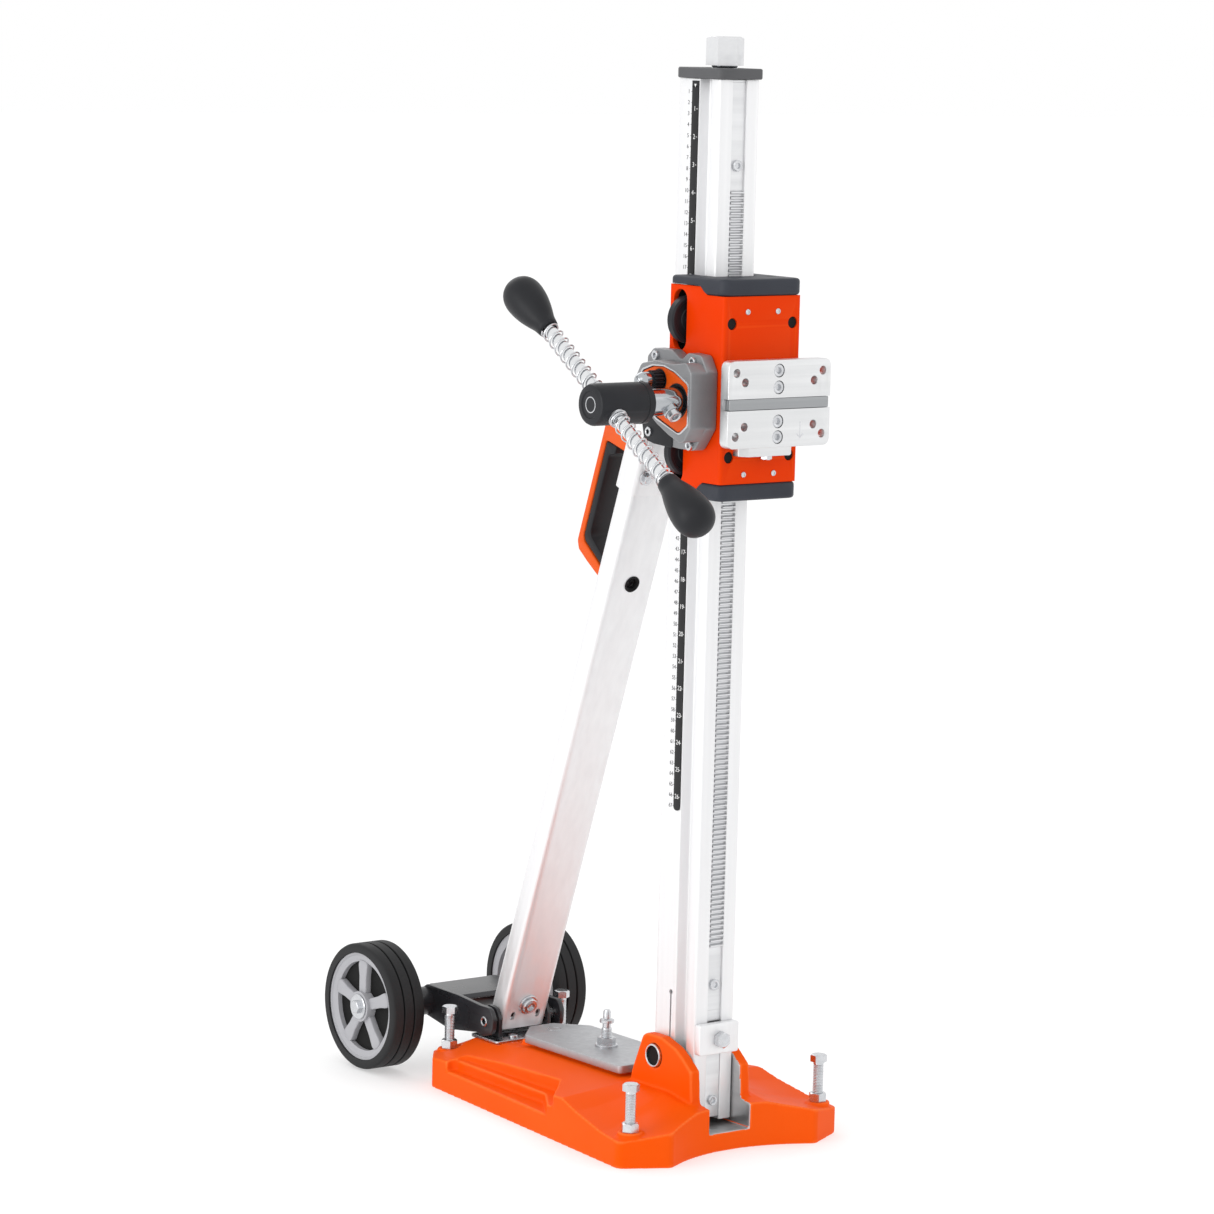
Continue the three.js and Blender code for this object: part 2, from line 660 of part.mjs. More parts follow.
addPart('feed_hub', feedHub(), finishes.black);
addPart('handle_rod', alongRod(turned(bar(rod.radius, -rod.halfLength, rod.halfLength), 16)),
  finishes.chrome);

function handleKnob(sign) {
  const { knobFrom: a, knobTo: b, radius, halfLength } = rod;
  const profile = [
    [radius + GAP, a], [9.6, a], [10.4, a + 2], [13.4, a + 16], [17.2, a + 32], [18.9, a + 44],
    [18.2, a + 53], [15, a + 60], [9, a + 64.6], [0, b - 0.2], [0, halfLength + 1],
    [radius + GAP, halfLength + 1], [radius + GAP, a],
  ];
  const knob = turned(profile, 18);
  return alongRod(sign > 0 ? knob : knob.rotateX(Math.PI));
}

class Helix extends THREE.Curve {
  getPoint(t, target = new THREE.Vector3()) {
    const angle = 2 * Math.PI * spring.turns * t;
    return target.set(
      spring.radius * Math.cos(angle), spring.radius * Math.sin(angle),
      spring.from + spring.wire + (spring.to - spring.from - 2 * spring.wire) * t,
    );
  }
}

function handleSpring(sign) {
  const wire = outline(circle(0, 0, spring.wire, 4));
  const coil = new THREE.ExtrudeGeometry(wire, {
    extrudePath: new Helix(), steps: 76, bevelEnabled: false,
  });
  return alongRod(sign > 0 ? coil : coil.rotateX(Math.PI));
}

for (const [sign, tag] of [[1, 'upper'], [-1, 'lower']]) {
  addPart(`handle_knob_${tag}`, handleKnob(sign), finishes.rubber);
  addPart(`handle_spring_${tag}`, handleSpring(sign), finishes.steel);
}

// ---------------------------------------------------------------- motor plate

addPart('plate_carrier', join(
  block(-31, 31, -81, carriage.front - GAP, plate.z - 49, plate.z + 38),
  prismZ([[-31, -80.5], [31, -80.5], [24, plate.back + GAP], [-24, plate.back + GAP]],
    plate.z - 49, plate.z + 38),
), finishes.aluminium);

function motorPlate() {
  const holes = [1, -1].flatMap((sx) => [1, -1].flatMap((sz) => [
    circle(sx * 50, plate.z + sz * 28.7, 3.8, 10), circle(sx * 40, plate.z + sz * 20, 3.8, 10),
  ]));
  return cut(
    prismY(roundedRectangle(0, plate.z, plate.halfWidth, plate.halfHeight, plate.corner),
      plate.front, plate.back, holes),
    block(-62, 62, plate.front - 1, plate.front + 6, plate.z - 5.3, plate.z + 5.3),
  );
}

addPart('motor_plate', motorPlate(), finishes.aluminium);
addPart('plate_key', block(-57.5, 57.5, plate.front + 0.6, plate.front + 5.7, plate.z - 5, plate.z + 5),
  finishes.darkSteel);

// ---------------------------------------------------------------- strut

const strutVector = new THREE.Vector2(strut.headY - strut.footY, strut.headZ - strut.footZ);
const strutLean = Math.atan2(-strutVector.x, strutVector.y);
const strutLength = strutVector.length();

// A piece made upright over the foot pivot, then leaned to the strut's angle.
const alongStrut = (geometry) =>
  geometry.rotateX(strutLean).translate(0, strut.footY, strut.footZ);

// The tube's outline about the line between its pivots, grown by a margin.
function strutSection(margin, corner) {
  const { halfWidth, front, back } = strut;
  return roundedRectangle(0, (front + back) / 2, halfWidth + margin, (back - front) / 2 + margin,
    corner);
}

function strutTube() {
  const { front, corner, wall, from, to, lockHole, boltAt, pinRadius } = strut;
  return alongStrut(cut(
    prismZ(strutSection(0, corner), from, to, [strutSection(-wall, corner - wall)]),
    turnedY(bar(7, -30, 30), 0, lockHole, 20),
    turnedX(bar(pinRadius + 0.4, -40, 40), 0, 0, 16),
    turnedY(bar(5.3, -30, front + 8), 0, boltAt, 16),
  ));
}

function footBolt() {
  const { front, boltAt } = strut;
  return alongStrut(turnedY([
    [0, front - 6], [6, front - 6], [8, front - 4.4], [8, front - 2.2], [10.4, front - 2.2],
    [10.4, front - GAP], [5, front - GAP], [5, front + 10], [0, front + 10],
  ], 0, boltAt, 20));
}

addPart('strut_tube', strutTube(), finishes.aluminium);
addPart('strut_foot_bolt', footBolt(), finishes.steel);

// The head: a folded sleeve over the tube's top end whose cheeks carry the upper pin.
const head = { sheet: 3, low: 572, sleeveTop: 624, frontTop: 636 };

function strutHead() {
  const { halfWidth: w, front, back, corner } = strut;
  const { sheet, low, sleeveTop, frontTop } = head;
  const sleeve = prismZ(strutSection(sheet, corner + 2), low, sleeveTop,
    [strutSection(GAP, corner)]);
  const cheekProfile = [
    [front, sleeveTop - 1], [back, sleeveTop - 1], [back, strutLength - 10],
    [9, strutLength + 9], [4, strutLength + 12], [-4, strutLength + 12], [front, strutLength + 6],
  ];
  const cheeks = [-1, 1].map((side) => prismX(
    cheekProfile, side > 0 ? w + 0.4 : -w - sheet, side > 0 ? w + sheet : -w - 0.4,
  ));
  const plate = block(-w + 3, w - 3, front - sheet, front - GAP, sleeveTop - 1, frontTop);
  return alongStrut(cut(
    join(sleeve, plate, ...cheeks),
    turnedX(bar(5.3, -40, 40), 0, strutLength, 16),
  ));
}

addPart('strut_head', strutHead(), finishes.aluminium);

// The carry handle: a shell behind the strut, with a soft liner all along its inside.
const handleShape = { low: 466, high: 626, far: 71.4, bar: 6.9, halfWidth: 13, liner: 8 };

function handleFrame() {
  const { low, high, far, bar: thick, halfWidth } = handleShape;
  const near = strut.back + GAP;
  const spine = strut.back + 3 + GAP;
  const inside = far - thick;
  const outer = [
    [near, low], [far - 22, low + 9], [far - 5, low + 14.6], [far - 1, low + 19], [far, low + 25],
    [far, high - 18], [far - 3, high - 8], [far - 10, high - 1], [far - 18, high], [spine, high],
    [spine, head.low - 1], [near, head.low - 1],
  ];
  const window = [
    [spine + 4, low + 11.4], [inside - 4, low + 25], [inside - 1, low + 28], [inside, low + 32],
    [inside, high - 34], [inside - 4, high - 30], [spine + 4, high - 28],
  ];
  return alongStrut(prismX(outer, -halfWidth, halfWidth, [window]));
}

function handleGrip() {
  const { low, high, far, bar: thick, halfWidth, liner } = handleShape;
  const face = far - thick - GAP;
  const spine = strut.back + 8 + GAP;
  const points = [
    [spine, low + 13.3], [face - 4.1, low + 25.6], [face - 1, low + 28.6], [face, low + 32.2],
    [face, high - 34.4], [face - 4.1, high - 30.4], [face - 16, high - 29.8],
    [face - 16, high - 29.8 - liner], [face - liner, high - 42], [face - liner, low + 35],
    [face - liner - 2, low + 33], [spine, low + 13.3 + liner],
  ];
  return alongStrut(prismX(points, -halfWidth + 0.8, halfWidth - 0.8));
}

addPart('carry_handle', handleFrame(), finishes.orangePlastic);
addPart('handle_grip', handleGrip(), finishes.rubber);

// ---------------------------------------------------------------- slider on the column's back

function columnSlider() {
  const back = column.halfDepth + GAP;
  const ear = prismX([
    [back + 6, 660], [strut.headY - 6, strut.headZ - 9], [strut.headY + 4, strut.headZ - 9],
    [strut.headY + 9, strut.headZ - 4], [strut.headY + 9, strut.headZ + 4],
    [strut.headY + 4, strut.headZ + 9], [strut.headY - 6, strut.headZ + 9], [back + 6, 700],
    [back + 1, 700], [back + 1, 660],
  ], -12, 12);
  return join(
    block(-20, 20, back, back + 7, 632, 716),
    block(-5.8, 5.8, back - 5, back + 1, 636, 712),
    block(-10.6, 10.6, back - 9.6, back - 4.8, 636, 712),
    ear, turnedX(bar(5, -24, 24), strut.headY, strut.headZ, 16),
  );
}

addPart('column_slider', columnSlider(), finishes.darkSteel);

// ---------------------------------------------------------------- strut foot

function footHinge() {
  const { footY: y, footZ: z, pinRadius } = strut;
  const seat = 43 + GAP;
  const ear = [
    [y - 9, seat], [y + 17, seat], [y + 17, z + 8], [y + 10, z + 14], [y - 2, z + 13], [y - 9, z + 4],
  ];
  return cut(
    join(
      block(-44, 44, y - 24, y + 22, seat, seat + 3),
      prismX(ear, -31.5, -27.6), prismX(ear, 27.6, 31.5),
    ),
    prismX(circle(y, z, pinRadius + 0.4, 16), -50, 50),
  );
}

addPart('foot_hinge', footHinge(), finishes.steel);
addPart('foot_pin', turnedX([
  [3, -44.5], [strut.pinRadius, -44.5], [strut.pinRadius, 44.5], [3, 44.5], [3, -44.5],
], strut.footY, strut.footZ, 16), finishes.steel);

// ---------------------------------------------------------------- wheel bracket and wheels

function wheelBracket() {
  const { footY: y, footZ: z } = strut;
  const cheek = [
    [y - 15, z + 1], [y - 12, z - 9], [y - 4, z - 14.6], [y + 4, z - 14.6], [y + 12, z - 13], [y + 50, 44],
    [y + 66, 44], [386, 52], [390, 60], [386, 74], [374, 81], [y + 44, 80], [y + 6, z + 14],
    [y - 6, z + 13.6], [y - 12, z + 9],
  ];
  const cheeks = [[-43.5, -38.5], [38.5, 43.5]].map(([a, b]) => prismX(cheek, a, b));
  return cut(
    join(
      ...cheeks,
      prismX([[y + 40, 75], [y + 44, 80], [374, 81], [386, 74], [390, 60], [386, 60], [382, 72],
        [373, 77]], -39, 39),
      turnedX(bar(14, -74, 74), wheel.y - 9, 64, 16),
    ),
    prismX(circle(y, z, strut.pinRadius + 0.4, 16), -60, 60),
    turnedX(bar(8.3, -90, 90), wheel.y, wheel.z, 16),
  );
}

addPart('wheel_bracket', wheelBracket(), finishes.blackSteel);

// The axle ends in a washer and a screw head outside each hub.
const hubWasher = wheel.outer + GAP;
addPart('wheel_axle', turnedX([
  [0, -hubWasher - 5.4], [7, -hubWasher - 5.4], [7, -hubWasher - 1.6], [12.5, -hubWasher - 1.6],
  [12.5, -hubWasher], [8, -hubWasher], [8, hubWasher], [12.5, hubWasher], [12.5, hubWasher + 1.6],
  [7, hubWasher + 1.6], [7, hubWasher + 5.4], [0, hubWasher + 5.4],
], wheel.y, wheel.z, 16), finishes.steel);

function tyre(side) {
  const { inner, outer, radius: r, rimRadius } = wheel;
  const width = outer - inner;
  const points = [
    [rimRadius, 0], [r - 1.6, 0], [r, 1.6], [r, 11], [r - 2, 12.3], [r, 13.6],
    [r, width - 13.6], [r - 2, width - 12.3], [r, width - 11], [r, width - 1.6], [r - 1.6, width],
    [rimRadius, width], [rimRadius, 0],
  ].map(([radius, along]) => [radius, side * (inner + along)]);
  return turnedX(side > 0 ? points : points.reverse(), wheel.y, wheel.z, 32);
}

// A rim: an outer ring, a hub and five spokes in front of a thin closed web.
function rim(side) {
  const { inner, outer, rimRadius } = wheel;
  const r = rimRadius - GAP;
  const face = outer - 2;
  const back = inner + 2;
  const span = (a, b) => (side > 0 ? [a, b] : [-b, -a]);
  const ring = (radiusIn, radiusOut, a, b, sides) => prismX(
    circle(wheel.y, wheel.z, radiusOut, sides), ...span(a, b),
    [circle(wheel.y, wheel.z, radiusIn, sides)],
  );
  const spokes = Array.from({ length: 5 }, (_, i) => {
    const angle = 90 * DEG + i * 72 * DEG;
    const across = ([along, width]) => [
      wheel.y + along * Math.cos(angle) - width * Math.sin(angle),
      wheel.z + along * Math.sin(angle) + width * Math.cos(angle),
    ];
    return prismX([[11, -6], [46, -8], [46, 8], [11, 6]].map(across), ...span(face - 14, face - 2));
  });
  return join(
    ring(44.5, r, back, face, 32), ring(8.4, 15, back, face + 2, 16),
    ring(8.4, 45.5, back + 10, back + 13, 32), ...spokes,
  );
}

for (const [side, tag] of [[-1, 'left'], [1, 'right']]) {
  addPart(`wheel_tyre_${tag}`, tyre(side), finishes.rubber);
  addPart(`wheel_rim_${tag}`, rim(side), finishes.castGrey);
}

export default rig;
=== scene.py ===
"""Core drill rig: the looks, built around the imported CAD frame. Metres, +Z up, -Y front."""
import json
import math

import bmesh
import bpy
from mathutils import Matrix, Vector


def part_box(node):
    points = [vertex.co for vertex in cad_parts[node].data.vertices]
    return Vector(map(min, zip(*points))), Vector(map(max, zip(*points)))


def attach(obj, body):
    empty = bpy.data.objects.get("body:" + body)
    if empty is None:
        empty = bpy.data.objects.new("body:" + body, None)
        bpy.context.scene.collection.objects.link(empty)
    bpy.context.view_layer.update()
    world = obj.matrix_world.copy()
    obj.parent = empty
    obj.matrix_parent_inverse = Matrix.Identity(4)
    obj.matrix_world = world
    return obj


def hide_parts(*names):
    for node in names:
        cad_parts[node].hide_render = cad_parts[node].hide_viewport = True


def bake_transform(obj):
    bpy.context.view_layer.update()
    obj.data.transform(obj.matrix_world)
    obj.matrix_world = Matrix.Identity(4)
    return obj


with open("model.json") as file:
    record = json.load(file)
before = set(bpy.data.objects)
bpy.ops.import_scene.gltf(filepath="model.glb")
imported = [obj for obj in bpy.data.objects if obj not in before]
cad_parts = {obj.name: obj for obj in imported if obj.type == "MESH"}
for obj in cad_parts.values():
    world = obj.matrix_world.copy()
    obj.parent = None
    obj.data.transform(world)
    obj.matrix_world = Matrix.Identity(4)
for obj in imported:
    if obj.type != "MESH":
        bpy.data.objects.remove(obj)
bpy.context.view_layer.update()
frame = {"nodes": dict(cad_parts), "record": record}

MM = 0.001
SCENE = bpy.context.scene
X, Y, Z = Vector((1, 0, 0)), Vector((0, 1, 0)), Vector((0, 0, 1))

# ------------------------------------------------------------------ what the frame says


def span(node):
    """A CAD node's box in millimetres: (low corner, high corner)."""
    low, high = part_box(node)
    return low / MM, high / MM


def centre(node):
    low, high = span(node)
    return (low + high) / 2


COLUMN = span("column_profile")
CARRIAGE = span("carriage_housing")
PLATE = span("motor_plate")
ROD_TILT = math.radians(34)
FEED = Vector((0, -45, centre("reduction_wheel").z))
ROD_AXIS = Vector((0, math.cos(ROD_TILT), math.sin(ROD_TILT)))
HUB_X = centre("handle_rod").x
ROD_MIDDLE = Vector((HUB_X, FEED.y, FEED.z))
REDUCTION = centre("reduction_shaft")

STRUT_FOOT = Vector((0, 275.5, 62))
STRUT_TOP = Vector((0, 62, 676))
STRUT_AXIS = (STRUT_TOP - STRUT_FOOT).normalized()
STRUT_LENGTH = (STRUT_TOP - STRUT_FOOT).length
STRUT_BACK = Vector((0, STRUT_AXIS.z, -STRUT_AXIS.y))

# ------------------------------------------------------------------ materials


class Shader:
    """A Principled material that varies in colour, gloss and bump over the object."""

    def __init__(self, name, color, roughness, metallic=0.0):
        self.material = bpy.data.materials.new(name)
        self.material.use_nodes = True
        self.nodes = self.material.node_tree.nodes
        self.links = self.material.node_tree.links
        self.bsdf = self.nodes["Principled BSDF"]
        self.color = color
        self.bsdf.inputs["Base Color"].default_value = (*color, 1)
        self.bsdf.inputs["Roughness"].default_value = roughness
        self.bsdf.inputs["Metallic"].default_value = metallic
        self.roughness = roughness
        self.coords = self.nodes.new("ShaderNodeTexCoord").outputs["Object"]
        self.normal = None

    def noise(self, scale, stretch=(1, 1, 1), detail=4.0, kind="ShaderNodeTexNoise"):
        mapping = self.nodes.new("ShaderNodeMapping")
        mapping.inputs["Scale"].default_value = stretch
        self.links.new(self.coords, mapping.inputs["Vector"])
        texture = self.nodes.new(kind)
        texture.inputs["Scale"].default_value = scale
        if "Detail" in texture.inputs:
            texture.inputs["Detail"].default_value = detail
        self.links.new(mapping.outputs["Vector"], texture.inputs["Vector"])
        return texture.outputs[0]

    def ramp(self, value, low, high, start=0.3, stop=0.7):
        """Stretches part of a value's range to another range."""
        node = self.nodes.new("ShaderNodeMapRange")
        node.inputs["From Min"].default_value = start
        node.inputs["From Max"].default_value = stop
        node.inputs["To Min"].default_value = low
        node.inputs["To Max"].default_value = high
        self.links.new(value, node.inputs["Value"])
        return node.outputs["Result"]

    def mix(self, factor, other):
        """Mixes the colour so far towards another one."""
        node = self.nodes.new("ShaderNodeMix")
        node.data_type = "RGBA"
        self.links.new(factor, node.inputs["Factor"])
        target = self.bsdf.inputs["Base Color"]
        if target.is_linked:
            self.links.new(target.links[0].from_socket, node.inputs["A"])
        else:
            node.inputs["A"].default_value = (*self.color, 1)
        node.inputs["B"].default_value = (*other, 1)
        self.links.new(node.outputs["Result"], target)
        return self

    def tint(self, value, other, amount):
        """Shows another colour where a noise is high."""
        return self.mix(self.ramp(value, 0.0, amount), other)

    def wear(self, color, amount, start=0.53, full=0.62):
        """Paints a lighter colour along raised edges: partly wear, partly a painted highlight where
        edges catch the light.
        """
        geometry = self.nodes.new("ShaderNodeNewGeometry")
        return self.mix(self.ramp(geometry.outputs["Pointiness"], 0.0, amount, start, full), color)

    def gloss(self, value, spread):
        low, high = self.roughness - spread, self.roughness + spread
        self.links.new(self.ramp(value, low, high), self.bsdf.inputs["Roughness"])
        return self

    def bump(self, value, strength, distance):
        node = self.nodes.new("ShaderNodeBump")
        node.inputs["Strength"].default_value = strength
        node.inputs["Distance"].default_value = distance * MM
        self.links.new(value, node.inputs["Height"])
        if self.normal:
            self.links.new(self.normal, node.inputs["Normal"])
        self.normal = node.outputs["Normal"]
        self.links.new(self.normal, self.bsdf.inputs["Normal"])
        return self

    def shine(self, level):
        self.bsdf.inputs["Specular IOR Level"].default_value = level
        return self

    def coat(self, weight, roughness):
        self.bsdf.inputs["Coat Weight"].default_value = weight
        self.bsdf.inputs["Coat Roughness"].default_value = roughness
        return self


def painted(name, color, light, roughness, grain=0.35, level=0.07, edge=(0.3, 0.53, 0.62)):
    """Powder coat: fine orange peel under a thin clear layer, its raised edges painted lighter as a
    highlight.
    """
    shader = Shader(name, color, roughness)
    cloud = shader.noise(9, detail=3)
    shader.tint(cloud, light, 0.12).gloss(cloud, 0.05)
    shader.bump(shader.noise(520, detail=2), grain, 0.12)
    # edge sets the painted edge highlight: how strong, then where on an edge it starts and is full.
    return shader.shine(level).coat(0.04, 0.2).wear(light, *edge).material


def brushed(name, color, dark, roughness, stretch, scratch=0.25, metallic=1.0):
    """Metal with fine scratches along one direction."""
    shader = Shader(name, color, roughness, metallic)
    lines = shader.noise(160, stretch, detail=6)
    cloud = shader.noise(7, detail=3)
    shader.tint(lines, dark, 0.35).tint(cloud, dark, 0.18).gloss(lines, 0.09)
    return shader.bump(lines, scratch, 0.05).material


def moulded(name, color, light, roughness, grain_scale=900, grain=0.3):
    """Plastic or rubber with a fine leathery grain."""
    shader = Shader(name, color, roughness)
    cloud = shader.noise(25, detail=3)
    shader.tint(cloud, light, 0.4).gloss(cloud, 0.06)
    shader.bump(shader.noise(grain_scale, detail=2), grain, 0.15)
    return shader.shine(0.24).wear(light, 0.5).material


def cast(name, color, dark, roughness):
    """A painted casting: coarse skin, small pits and a painted highlight along its edges."""
    shader = Shader(name, color, roughness, 0.3)
    cloud = shader.noise(40, detail=5)
    shader.tint(cloud, dark, 0.4).gloss(cloud, 0.08)
    shader.bump(shader.noise(420, detail=3), 0.5, 0.25)
    return shader.wear((0.62, 0.62, 0.64), 0.7).material


def polished(name, color, roughness):
    shader = Shader(name, color, roughness, 1.0)
    film = shader.noise(60, detail=4)
    return shader.tint(film, (0.45, 0.46, 0.48), 0.2).gloss(film, 0.04).material


ALONG_Z = (1, 1, 0.02)
ALONG_X = (0.02, 1, 1)
LOOKS = {
    # The base's orange: its strong edge setting paints highlights along the casting's edges.
    "orange_paint": painted(
        "orange_paint", (0.84, 0.083, 0.0), (0.95, 0.19, 0.04), 0.42, level=0.03,
        edge=(0.8, 0.512, 0.56)),
    "orange_plastic": moulded(
        "orange_plastic", (0.7, 0.08, 0.001), (0.78, 0.115, 0.004), 0.46, 700),
    "aluminium": brushed(
        "aluminium", (0.85, 0.85, 0.858), (0.76, 0.763, 0.775), 0.44, ALONG_Z, metallic=0.6),
    "milled_aluminium": brushed(
        "milled_aluminium", (0.78, 0.785, 0.79), (0.62, 0.63, 0.64), 0.4, ALONG_X),
    "zinc_steel": brushed("zinc_steel", (0.68, 0.69, 0.71), (0.42, 0.43, 0.45), 0.26, (1, 1, 1)),
    "dark_steel": brushed("dark_steel", (0.4, 0.41, 0.42), (0.24, 0.25, 0.26), 0.4, ALONG_X),
    "chrome": polished("chrome", (0.46, 0.48, 0.5), 0.12),
    "cast_housing": cast("cast_housing", (0.255, 0.258, 0.268), (0.175, 0.178, 0.185), 0.42),
    "grey_plastic": moulded(
        "grey_plastic", (0.027, 0.03, 0.04), (0.05, 0.055, 0.068), 0.48, 1100, 0.4),
    "black_plastic": moulded(
        "black_plastic", (0.011, 0.0117, 0.0142), (0.026, 0.0275, 0.033), 0.4),
    "rim_plastic": moulded("rim_plastic", (0.38, 0.38, 0.4), (0.44, 0.44, 0.46), 0.5),
    "black_paint": painted("black_paint", (0.02, 0.0205, 0.024), (0.045, 0.046, 0.05), 0.3,
                           level=0.5),
    "scale_black": moulded("scale_black", (0.012, 0.012, 0.013), (0.025, 0.025, 0.027), 0.45),
    "soft_rubber": moulded("soft_rubber", (0.01, 0.0104, 0.0126), (0.024, 0.0252, 0.0295), 0.44),
    "tyre": moulded("tyre", (0.011, 0.0112, 0.012), (0.028, 0.0285, 0.03), 0.58, 500, 0.5),
}
SHADE = {
    "white_print": moulded("white_print", (0.85, 0.85, 0.85), (0.7, 0.7, 0.7), 0.5),
    "black_print": moulded("black_print", (0.03, 0.03, 0.035), (0.08, 0.08, 0.085), 0.5),
    "bare_casting": brushed(
        "bare_casting", (0.6, 0.6, 0.6), (0.4, 0.4, 0.41), 0.42, (1, 0.02, 1)),
    "bright_zinc": brushed("bright_zinc", (0.78, 0.785, 0.795), (0.6, 0.605, 0.62), 0.42, ALONG_X),
    # A darker copy of orange_paint for the carriage housing: painted shade, the carriage standing
    # in less light than the base.
    "deep_orange": painted(
        "deep_orange", (0.74, 0.038, 0.0), (0.85, 0.09, 0.01), 0.45, level=0.03),
    "plate_zinc": brushed(
        "plate_zinc", (0.49, 0.495, 0.51), (0.41, 0.415, 0.43), 0.5, (1, 1, 1), 0.08),
    "cap_grey": moulded("cap_grey", (0.085, 0.086, 0.09), (0.12, 0.121, 0.126), 0.5, 1100, 0.4),
    "pale_chrome": polished("pale_chrome", (0.84, 0.85, 0.86), 0.14),
    # A dead black put where holes, slots and hollows lie in shade: painted shade.
    "deep_black": moulded("deep_black", (0.003, 0.003, 0.003), (0.006, 0.006, 0.006), 0.7),
}

# ------------------------------------------------------------------ mesh helpers


def place(mesh, name, look, body, replaces=None, smooth=35.0, shade=None):
    """Puts a finished mesh in the scene as a piece that rides on a body.

    look names the record's material; shade names another material to show it in: a finer finish,
    and for some pieces a colour that stands for shade.
    """
    piece = bpy.data.objects.new(name, mesh)
    SCENE.collection.objects.link(piece)
    mesh.materials.clear()
    mesh.materials.append(SHADE[shade] if shade else LOOKS[look])
    mesh.shade_smooth()
    mesh.set_sharp_from_angle(angle=math.radians(smooth))
    if body:
        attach(piece, body)
    if replaces:
        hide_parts(replaces)
    return piece


def turn_frame(axis, origin):
    """A matrix that takes +Z to an axis through a point, in millimetres."""
    turn = Z.rotation_difference(axis.normalized())
    return Matrix.Translation(Vector(origin)) @ turn.to_matrix().to_4x4()


def fillet(points, radius=0.0, steps=5):
    """Rounds the corners of an outline. A point may carry its own radius as a third number."""
    rounded = []
    count = len(points)
    for i, point in enumerate(points):
        here = Vector(point[:2])
        size = point[2] if len(point) > 2 else radius
        if size <= 0:
            rounded.append(tuple(here))
            continue
        back = Vector(points[i - 1][:2]) - here
        ahead = Vector(points[(i + 1) % count][:2]) - here
        if back.length < 1e-6 or ahead.length < 1e-6:
            rounded.append(tuple(here))
            continue
        corner = back.angle(ahead)
        if corner > math.radians(176):
            rounded.append(tuple(here))
            continue
        reach = min(size / math.tan(corner / 2), back.length * 0.48, ahead.length * 0.48)
        start = here + back.normalized() * reach
        end = here + ahead.normalized() * reach
        for k in range(steps + 1):
            t = k / steps
            rounded.append(tuple(start.lerp(here, t).lerp(here.lerp(end, t), t)))
    return rounded


def circle(a, b, radius, sides=48):
    return [(a + radius * math.cos(2 * math.pi * i / sides),
             b + radius * math.sin(2 * math.pi * i / sides)) for i in range(sides)]


def rect(a0, a1, b0, b1):
    return [(a0, b0), (a1, b0), (a1, b1), (a0, b1)]


def rounded_box(a, b, half_a, half_b, radius, steps=8):
    return fillet(rect(a + half_a, a - half_a, b + half_b, b - half_b), radius, steps)


def lathe_mesh(profile, axis, origin, sides=72):
    """A turned mesh: profile of (radius, distance along the axis) from pole to pole."""
    frame_to = turn_frame(axis, origin)
    mesh = bmesh.new()
    rings = []
    for radius, along in profile:
        if radius < 1e-4:
            rings.append([mesh.verts.new(frame_to @ Vector((0, 0, along)) * MM)])
            continue
        ring = []
        for i in range(sides):
            angle = 2 * math.pi * i / sides
            spot = Vector((radius * math.cos(angle), radius * math.sin(angle), along))
            ring.append(mesh.verts.new(frame_to @ spot * MM))
        rings.append(ring)
    for low, high in zip(rings, rings[1:]):
        for i in range(sides):
            j = (i + 1) % sides
            corners = [low[i % len(low)], low[j % len(low)],
                       high[j % len(high)], high[i % len(high)]]
            unique = list(dict.fromkeys(corners))
            if len(unique) > 2:
                mesh.faces.new(unique)
    return finish_mesh(mesh)


def finish_mesh(mesh):
    bmesh.ops.remove_doubles(mesh, verts=mesh.verts, dist=1e-6)
    bmesh.ops.recalc_face_normals(mesh, faces=mesh.faces)
    data = bpy.data.meshes.new("mesh")
    mesh.to_mesh(data)
    mesh.free()
    return data


def turned(name, profile, axis, origin, look, body, replaces=None, sides=72, shade=None):
    return place(lathe_mesh(profile, axis, origin, sides), name, look, body, replaces, shade=shade)


PLANES = {
    "x": Matrix(((0, 0, 1, 0), (1, 0, 0, 0), (0, 1, 0, 0), (0, 0, 0, 1))),
    "y": Matrix(((1, 0, 0, 0), (0, 0, -1, 0), (0, 1, 0, 0), (0, 0, 0, 1))),
    "z": Matrix.Identity(4),
}


def signed_area(points):
    return sum(a[0] * b[1] - b[0] * a[1] for a, b in zip(points, points[1:] + points[:1])) / 2


def slab_mesh(outline, holes, axis, low, high, bevel=0.6):
    """A flat piece with rounded edges: an outline across an axis, from one place to another."""
    curve = bpy.data.curves.new("slab", "CURVE")
    curve.dimensions = "2D"
    curve.fill_mode = "BOTH"
    curve.bevel_resolution = 2
    curve.bevel_depth = bevel
    curve.offset = -bevel
    curve.extrude = max((high - low) / 2 - bevel, 0.001)
    for index, loop in enumerate([outline, *holes]):
        if (signed_area(loop) > 0) != (index == 0):
            loop = loop[::-1]
        spline = curve.splines.new("POLY")
        spline.points.add(len(loop) - 1)
        for point, (a, b) in zip(spline.points, loop):
            point.co = (a, b, 0, 1)
        spline.use_cyclic_u = True
    holder = bpy.data.objects.new("slab", curve)
    SCENE.collection.objects.link(holder)
    evaluated = holder.evaluated_get(bpy.context.evaluated_depsgraph_get())
    data = bpy.data.meshes.new_from_object(evaluated)
    bpy.data.objects.remove(holder)
    bpy.data.curves.remove(curve)
    middle = (low + high) / 2
    sign = -1 if axis == "y" else 1
    to_place = PLANES[axis] @ Matrix.Translation((0, 0, sign * middle))
    data.transform(Matrix.Scale(MM, 4) @ to_place)
    mesh = bmesh.new()
    mesh.from_mesh(data)
    bpy.data.meshes.remove(data)
    return finish_mesh(mesh)


